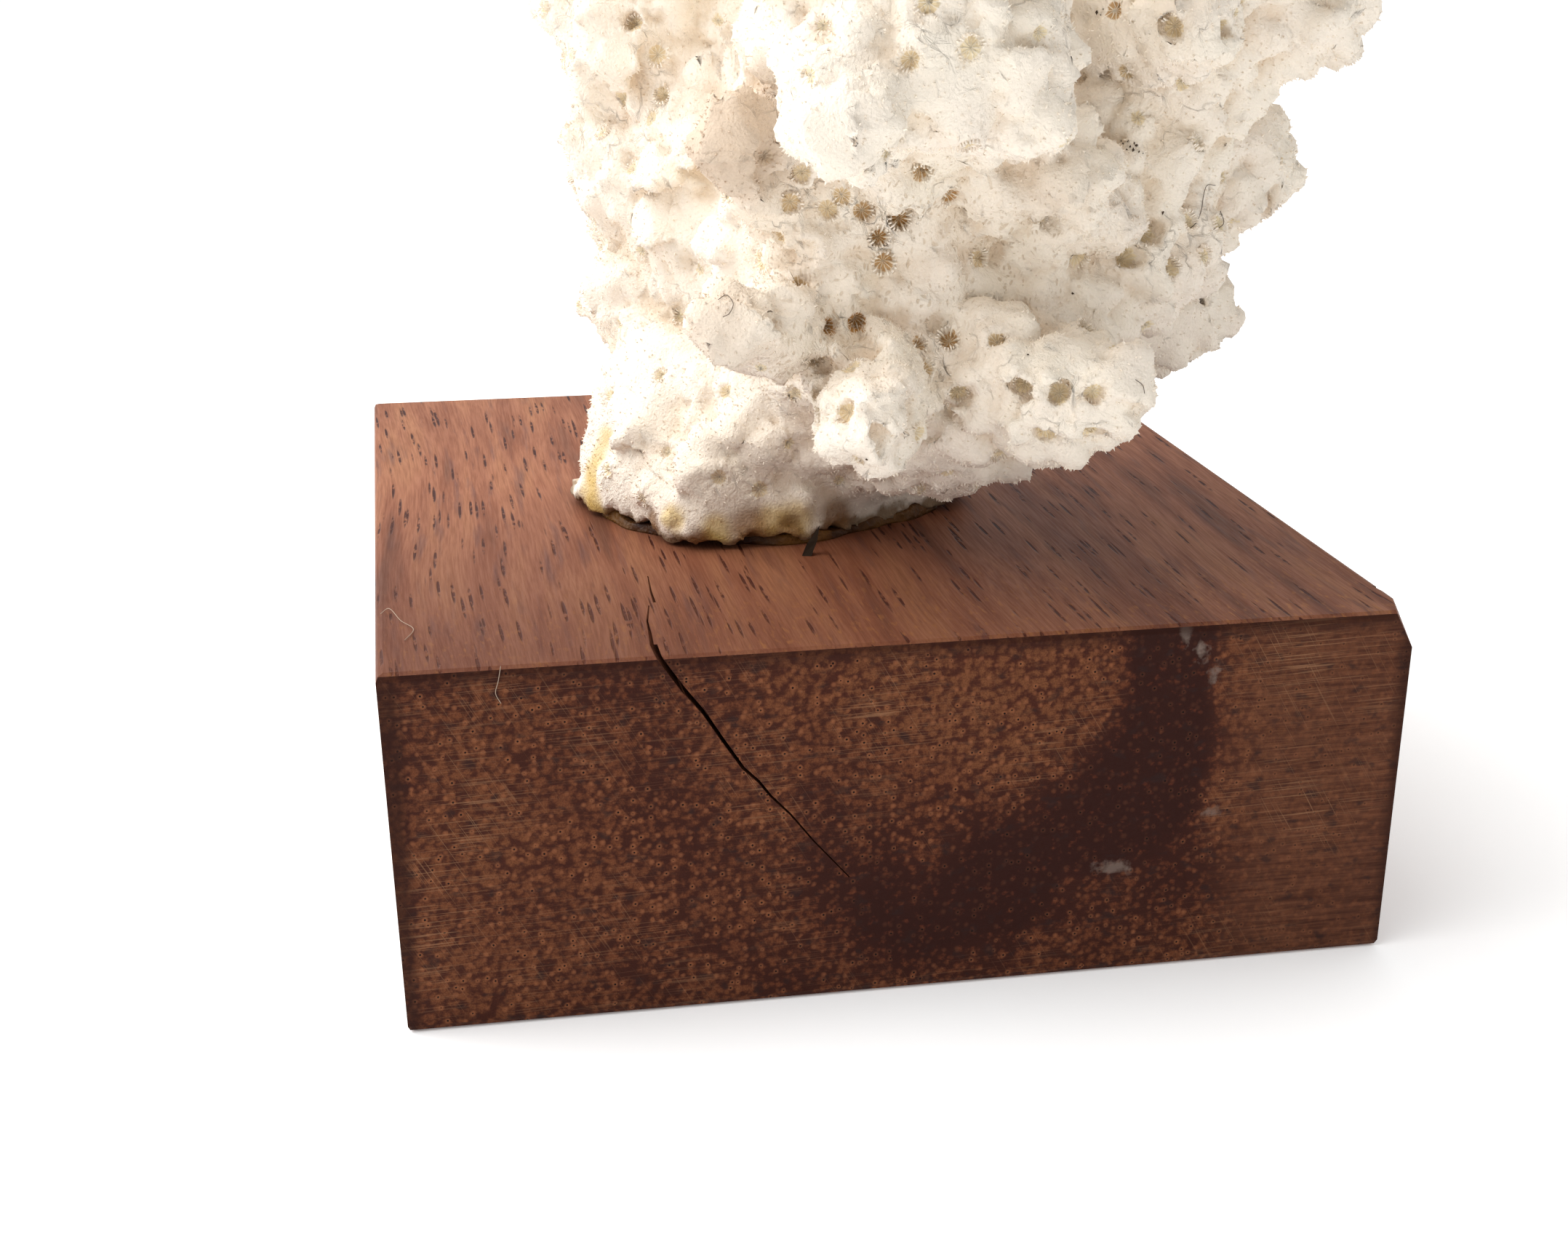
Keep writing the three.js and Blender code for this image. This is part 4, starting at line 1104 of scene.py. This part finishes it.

# Patches that can be picked out in the picture, as pixel x, y and half width in millimetres: where slender
# pits show, where the skin is painted greyer as shade, with its strength, and where glue has soaked yellow or
# brown into the foot.
PITTED_IN_VIEW = [(1250, 330, 7), (1400, 330, 6), (1120, 480, 6)]
GREY_SHADE_IN_VIEW = [(1000, 190, 4.5, 0.9), (985, 440, 3, 0.5), (1450, 250, 3, 0.3), (950, 680, 7, 0.3)]
YELLOWED_IN_VIEW = [
    (830, 602, 0.9), (818, 628, 1), (810, 652, 1.2), (808, 674, 1.5), (818, 694, 1.2), (925, 712, 1),
    (985, 728, 1.1), (1060, 716, 1.3), (1092, 710, 1.4),
]
BROWNED_IN_VIEW = [(900, 714, 0.9), (960, 738, 0.8), (1030, 724, 1.6), (1085, 728, 1.1), (1150, 709, 1.4)]


def nearness(middle, half, strength):
    """A soft ball round a place in millimetres, as an output that falls from the strength to nothing."""
    away = put("VectorMath", {0: place, 1: tuple(middle)}, "DISTANCE").node.outputs["Value"]
    return put("MapRange", {"Value": away, "From Min": half * 1.5, "From Max": half * 0.5,
                            "To Max": strength}, "SMOOTHSTEP")


# Between the cups: crests in cream and hollows in painted tan shade, soft patches some 5 mm wide, and
# slender pits that point up the branch.
patches = put("TexNoise", {"Vector": place, "Scale": 0.2, "Detail": 2})
# Painted shade: the skin turns tan where it lies in a hollow, standing in for the warm shade there.
crest = put("Math", {0: frayed, 1: -0.5, 2: noted["hollow"]["Fac"]}, "MULTIPLY_ADD")
crest = put("MapRange", {"Value": crest, "From Min": 0.35, "From Max": -0.3})
hollow_shade_colour = put("Mix", {0: patches, 6: "#e7d6bc", 7: "#e5d1bd"})
crest_colour = put("Mix", {0: patches, 6: "#f8efde", 7: "#f5e8da"})
skin_colour = put("Mix", {0: crest, 6: hollow_shade_colour, 7: crest_colour})
PIT_WIDE, PIT_LONG = 0.34, 0.85
pit_sway = put("TexNoise", {"Vector": place, "Scale": 0.35, "Detail": 1})
pit_sway = put("VectorMath", {0: pit_sway.node.outputs["Color"], "Scale": 3}, "SCALE")
pit_place = put("VectorMath", {0: place, 1: pit_sway}, "ADD")
pit_place = put("VectorMath", {0: pit_place, 1: (1 / PIT_WIDE, 1 / PIT_WIDE, 1 / PIT_LONG)}, "MULTIPLY")
pits = put("TexVoronoi", {"Vector": pit_place, "Scale": 1})
pit = put("MapRange", {"Value": pits, "From Min": 0.38, "From Max": 0.24})
some = put("SeparateColor", {"Color": pits.node.outputs["Color"]})
some = put("MapRange", {"Value": some, "From Min": 0.35, "From Max": 0.6})
pit = put("Math", {0: pit, 1: some}, "MULTIPLY")
pit = put("Math", {0: pit, 1: not_blade}, "MULTIPLY")
pit_region = put("MapRange", {"Value": patches, "From Min": 0.42, "From Max": 0.62, "To Min": 0.0,
                              "To Max": 0.12})
for x, y, half in PITTED_IN_VIEW:
    here = nearness(first_hit((x, y)), half, 0.42)
    pit_region = put("Math", {0: pit_region, 1: here}, "MAXIMUM")
pit_show = put("Math", {0: pit, 1: pit_region}, "MULTIPLY")
skin_colour = put("Mix", {0: pit_show, 6: skin_colour, 7: "#b99a70"})
coral_colour = put("Mix", {0: in_mouth, 6: skin_colour, 7: mouth_colour})

# Painted shade: greyer patches on the skin where it lies in shade.
for x, y, half, strength in GREY_SHADE_IN_VIEW:
    grey_shade_patch = nearness(first_hit((x, y)), half, strength)
    coral_colour = put("Mix", {0: grey_shade_patch, 6: coral_colour, 7: "#cdb8a2"})

# Glue soaked into the foot: olive brown along its lowest edge, and yellow or brown in patches above that.
spot = put("SeparateXYZ", {"Vector": place}).node.outputs
soaked = put("TexNoise", {"Vector": place, "Scale": 0.5, "Detail": 3})
line = put("Math", {0: soaked, 1: 3, 2: 24.7}, "MULTIPLY_ADD")
above = put("Math", {0: line, 1: spot["Z"]}, "SUBTRACT")
stained = put("MapRange", {"Value": above, "From Min": -0.5, "From Max": 0.4, "To Max": 0.85}, "SMOOTHSTEP")
coral_colour = put("Mix", {0: stained, 6: coral_colour, 7: "#75562c"})
for stains, strength, colour in ((YELLOWED_IN_VIEW, 0.65, "#d6b666"), (BROWNED_IN_VIEW, 0.8, "#80572c")):
    for x, y, half in stains:
        stained = nearness(first_hit((x, y)), half, strength)
        coral_colour = put("Mix", {0: stained, 6: coral_colour, 7: colour})

# Relief too fine for the mesh, in millimetres: the pits, ribs down the outside of each cup, and a fine grit.
grit = put("TexNoise", {"Vector": place, "Scale": 5, "Detail": 4})
ribs = put("Math", {0: turn, 1: SEPTA}, "MULTIPLY")
ribs = put("Math", {0: ribs}, "COSINE")
beyond_rim = put("MapRange", {"Value": radius, "From Min": 2.6, "From Max": 1.2})
ribs = put("Math", {0: ribs, 1: beyond_rim}, "MULTIPLY")
height = put("Math", {0: grit, 1: 0.18}, "MULTIPLY")
height = put("Math", {0: ribs, 1: 0.03, 2: height}, "MULTIPLY_ADD")
height = put("Math", {0: pit_show, 1: -0.12, 2: height}, "MULTIPLY_ADD")
bump = put("Bump", {"Height": height, "Distance": MM, "Strength": 0.8})
feed(shader, {"Base Color": coral_colour, "Normal": bump, "Roughness": 0.85, "IOR": 1.53,
              "Specular IOR Level": 0.25})

# How often a point is moved to the middle of its neighbours to smooth the skin, and how the spinules and
# septa are coloured: how much like a septum, and how much less painted shade they get than the skin under
# them.
HOLLOW_ROUNDS = 30
SPINULE_BLADE, SPINULE_LESS_SHADE, SEPTUM_LESS_SHADE = 0.6, 0.1, 0.2


def normals_of(mesh):
    normals = np.empty(len(mesh.vertices) * 3, np.float32)
    mesh.vertex_normals.foreach_get("vector", normals)
    return normals.reshape(-1, 3)


def hollows_of(mesh, points):
    """How far each point lies below the skin as it would be if it were smoothed over about 2 mm."""
    ends = np.empty(len(mesh.edges) * 2, np.int32)
    mesh.edges.foreach_get("vertices", ends)
    one, other = ends.reshape(-1, 2).T
    count = np.maximum(np.bincount(one, minlength=len(points)) + np.bincount(other, minlength=len(points)), 1)
    normals = normals_of(mesh)
    depth = 0
    for axis in range(3):
        smooth = points[:, axis]
        for _ in range(HOLLOW_ROUNDS):
            near = np.bincount(one, smooth[other], len(points)) + np.bincount(other, smooth[one], len(points))
            smooth = near / count
        depth = depth + (smooth - points[:, axis]) * normals[:, axis]
    return depth


def skeleton_piece(owner, step):
    name = BRANCHES[owner]["name"]
    points, threes, fours = skeleton_surface(owner, step)
    points = points.astype(float)
    mesh = mesh_of(name, points, [threes, fours])
    normals = normals_of(mesh)
    bpy.data.meshes.remove(mesh)
    lumps = sum(grain(points, size) * height for size, height in SKIN_LUMPS)
    points = points + normals * (lumps * (points[:, 2] > FOOT_Z + 0.4))[:, None]
    bare = mesh_of(name, points, [threes, fours])
    hollow = hollows_of(bare, points)
    bpy.data.meshes.remove(bare)
    nearest = np.array([cup_finder.find(point)[1] for point in points])
    own = np.flatnonzero(with_septa & (branch_at_cup == owner))
    blades, blade_fours, blade_cup = septa_of(own)
    spikes, spike_faces, spike_on = spinules_of(points, threes, fours)
    cup = np.concatenate([nearest, nearest[spike_on], blade_cup])
    count = len(points)
    blade = np.concatenate([np.zeros(count), np.full(len(spikes), SPINULE_BLADE), np.ones(len(blades))])
    # Spinules and septa get less painted hollow shade than the skin, so they show lighter.
    hollow = np.concatenate([hollow, hollow[spike_on] - SPINULE_LESS_SHADE, np.full(len(blades), -SEPTUM_LESS_SHADE)])
    points = np.concatenate([points, spikes, blades])
    mesh = mesh_of(name, points, [threes, fours, spike_faces + count, blade_fours + count + len(spikes)])
    mesh.polygons.foreach_set("use_smooth", np.arange(len(mesh.polygons)) < len(threes) + len(fours))
    offset = points - mouth_middles[cup]
    frames = np.stack([(offset * way[cup]).sum(1) for way in (sides, tops, axes)], -1)
    note(mesh, "cup", frames)
    note(mesh, "cup_size", np.stack([mouths[cup], np.hypot(frames[:, 0], frames[:, 1]), dust[cup]], -1))
    # How deep each point lies in a hollow, which the material paints as tan shade.
    note(mesh, "hollow", hollow)
    note(mesh, "blade", blade)
    mesh.materials.append(aragonite)
    piece = add_object(name + "_skeleton", mesh)
    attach(piece, "root")
    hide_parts("coral_" + name)
    return piece


branch_at_cup = np.argmin([field_at(field, places) for field in branch_fields], 0)

# The mesh is finest where the picture shows the coral from near. Millimetres.
PLAIN_STEP = 0.42
SURFACE_STEP = {"front_branch": 0.34, "low_lobe": 0.3, "right_branch": 0.34, "stem": 0.34}
skeleton = [skeleton_piece(owner, SURFACE_STEP.get(branch["name"], PLAIN_STEP))
            for owner, branch in enumerate(BRANCHES)]

# What has settled on the specimen: fibres of lint caught on the coral and on the block, dark crumbs of grit
# in the coral's gaps, and a dark sliver of wood stuck in the glue at the foot.

LINT_RADIUS = 0.025
LINT_SIDES = 5
LINT_RAISED, CRUMB_RAISED = 0.12, 0.05
LINT_IN_VIEW = [
    [(1670, 254), (1658, 255), (1655, 267), (1651, 287), (1644, 305), (1633, 315)],
    [(1677, 292), (1681, 305), (1677, 313), (1668, 316)],
    [(988, 414), (999, 408), (1008, 418), (1004, 430), (994, 436)],
    [(1560, 522), (1570, 530), (1572, 541)],
]
LINT_ON_BLOCK = [
    [(-34.2, -25.4, 25.1), (-33.6, -25.6, 25.5), (-32.9, -27.3, 25.2), (-32.1, -28.9, 25.1),
     (-32.7, -31, 25.1)],
    [(-26.9, -36.9, 25.1), (-27.1, -37.1, 24.2), (-27.3, -37.1, 23.4), (-27, -37.1, 22.7)],
]
CRUMBS_IN_VIEW = [
    (1541, 193), (1545, 198), (1551, 194), (1554, 202), (1558, 207), (1563, 200), (1566, 209), (1571, 211),
    (1549, 206), (1560, 197), (1599, 292), (1476, 403), (1509, 17), (1514, 21), (1518, 13), (1846, 99),
    (1192, 631), (1413, 488),
]
CRUMB_SIZE = (0.06, 0.14)
SLIVER = [(-4.15, -17.5, 25), (-3.5, -17.7, 25), (-3.3, -17.2, 25), (-4, -17, 25), (-3.75, -17.35, 25.9),
          (-3, -17.4, 26.1), (-3.1, -16.9, 26.1), (-2.75, -17, 27.1)]
SLIVER_FACES = [(0, 3, 2, 1), (0, 1, 5, 4), (1, 2, 6, 5), (2, 3, 6), (3, 4, 6), (3, 0, 4), (4, 5, 7),
                (5, 6, 7), (6, 4, 7)]

depsgraph = bpy.context.evaluated_depsgraph_get()
skins = [bvhtree.BVHTree.FromObject(piece, depsgraph) for piece in skeleton]


def seen_at(pixel):
    """Where the camera sees the finished coral at a pixel, in millimetres, and which way its skin faces."""
    ray = ray_through(pixel)
    hits = [hit for hit in (skin.ray_cast(CAMERA_AT, ray) for skin in skins) if hit[0] is not None]
    if not hits:
        return None
    point, normal = min(hits, key=lambda hit: hit[3])[:2]
    return np.array(point) / MM, np.array(normal)


def thread(path):
    """A thin round thread along a smooth path, as points and four-sided faces."""
    path = np.asarray(path, float)
    rows = np.hstack([path, np.full((len(path), 1), LINT_RADIUS)])
    limb = Limb(rows, 0, 0)
    share = np.linspace(0, 1, 6 * len(path))
    middle = catmull_rom(rows, share)[:, :3]
    _, across, along = limb.axes(share)
    turn = np.arange(LINT_SIDES) / LINT_SIDES * 2 * math.pi
    ring = across[:, None] * np.cos(turn)[:, None] + along[:, None] * np.sin(turn)[:, None]
    points = middle[:, None] + ring * LINT_RADIUS
    start = (np.arange(len(share) - 1) * LINT_SIDES)[:, None]
    side, beside = np.arange(LINT_SIDES), (np.arange(LINT_SIDES) + 1) % LINT_SIDES
    following = start + LINT_SIDES
    faces = np.stack([start + side, start + beside, following + beside, following + side], -1)
    return points.reshape(-1, 3), faces.reshape(-1, 4)


def litter_piece(name, mesh, colour):
    matter, _, shader = new_material(name)
    feed(shader, {"Base Color": colour, "Roughness": 0.8, "Specular IOR Level": 0.1})
    mesh.materials.append(matter)
    piece = add_object(name, mesh)
    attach(piece, "root")


def all_threads(paths):
    points, faces, count = [], [], 0
    for path in paths:
        more_points, more_faces = thread(path)
        points.append(more_points)
        faces.append(more_faces + count)
        count += len(more_points)
    return np.concatenate(points), [np.concatenate(faces)]


lint_on_coral = []
for pixels in LINT_IN_VIEW:
    hits = [hit for hit in map(seen_at, pixels) if hit is not None]
    lint_on_coral.append([place + normal * LINT_RAISED for place, normal in hits])
litter_piece("grey_lint", mesh_of("grey_lint", *all_threads(lint_on_coral)), "#5d5046")
litter_piece("pale_lint", mesh_of("pale_lint", *all_threads(LINT_ON_BLOCK)), "#a3907f")

crumb_points, crumb_faces = [], []
for pixel in CRUMBS_IN_VIEW:
    hit = seen_at(pixel)
    if hit is None:
        continue
    size = between(CRUMB_SIZE, rng.random()) * (0.6 + 0.8 * rng.random(3))
    corners = unit(np.array([(1, 0, 0), (-1, 0, 0), (0, 1, 0), (0, -1, 0), (0, 0, 1), (0, 0, -1)])
                   + rng.normal(0, 0.25, (6, 3)))
    crumb_faces += [[len(crumb_points) + k for k in face] for face in
                    ((0, 2, 4), (2, 1, 4), (1, 3, 4), (3, 0, 4), (2, 0, 5), (1, 2, 5), (3, 1, 5), (0, 3, 5))]
    crumb_points += list(hit[0] + hit[1] * CRUMB_RAISED + corners * size)
crumb_mesh = mesh_of("crumbs", np.array(crumb_points), [np.array(crumb_faces)])
litter_piece("dark_crumbs", crumb_mesh, "#54473a")
sliver_mesh = bpy.data.meshes.new("sliver")
sliver_mesh.from_pydata((np.array(SLIVER) * MM).tolist(), [], SLIVER_FACES)
litter_piece("dark_sliver", sliver_mesh, "#2c2118")

# The floor and the light: a sweep of translucent white paper, lit evenly from above and behind and a little
# from below, so that only a soft shadow lies at the block's foot.

FLOOR_HALF = 2.0
KEY_WATTS, KEY_SIZE, KEY_AT, KEY_AIM = 5, 0.75, (-0.35, 0.1, 0.5), (0, 0, 0.05)
SKY_LEVEL, SKY_FROM_RIGHT, SKY_FROM_BEHIND, SKY_FROM_ABOVE = 0.8, -0.35, 0.38, 0.2

floor_mesh = bpy.data.meshes.new("floor")
corners = [(x * FLOOR_HALF, y * FLOOR_HALF, 0) for x, y in ((-1, -1), (1, -1), (1, 1), (-1, 1))]
floor_mesh.from_pydata(corners, [], [(0, 1, 2, 3)])
floor = add_object("floor", floor_mesh)
paper, tree, shader = new_material("white_paper")
feed(shader, {"Base Color": "#fbfbfb", "Roughness": 0.9, "Emission Color": "#ffffff",
              "Emission Strength": 0.12})
floor_mesh.materials.append(paper)
floor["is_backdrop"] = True

world = bpy.data.worlds.new("studio")
bpy.context.scene.world = world
world.use_nodes = True
tree = world.node_tree
direction = put("TexCoord", {}).node.outputs["Generated"]
toward = put("VectorMath", {0: direction, 1: (SKY_FROM_RIGHT, SKY_FROM_BEHIND, SKY_FROM_ABOVE)},
             "DOT_PRODUCT").node.outputs["Value"]
level = put("Math", {0: toward, 1: SKY_LEVEL}, "ADD")
feed(tree.nodes["Background"], {"Color": "#ffffff", "Strength": level})
bpy.context.scene.view_settings.view_transform = "Standard"

key_data = bpy.data.lights.new("key", "AREA")
key_data.energy = KEY_WATTS
key_data.size = KEY_SIZE
key = add_object("key", key_data)
key.location = KEY_AT
key.rotation_mode = "QUATERNION"
key.rotation_quaternion = (Vector(KEY_AIM) - key.location).to_track_quat("-Z", "Y")

size = {"cad": [list(corner) for corner in cad_box], "visual": [list(corner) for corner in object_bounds()]}
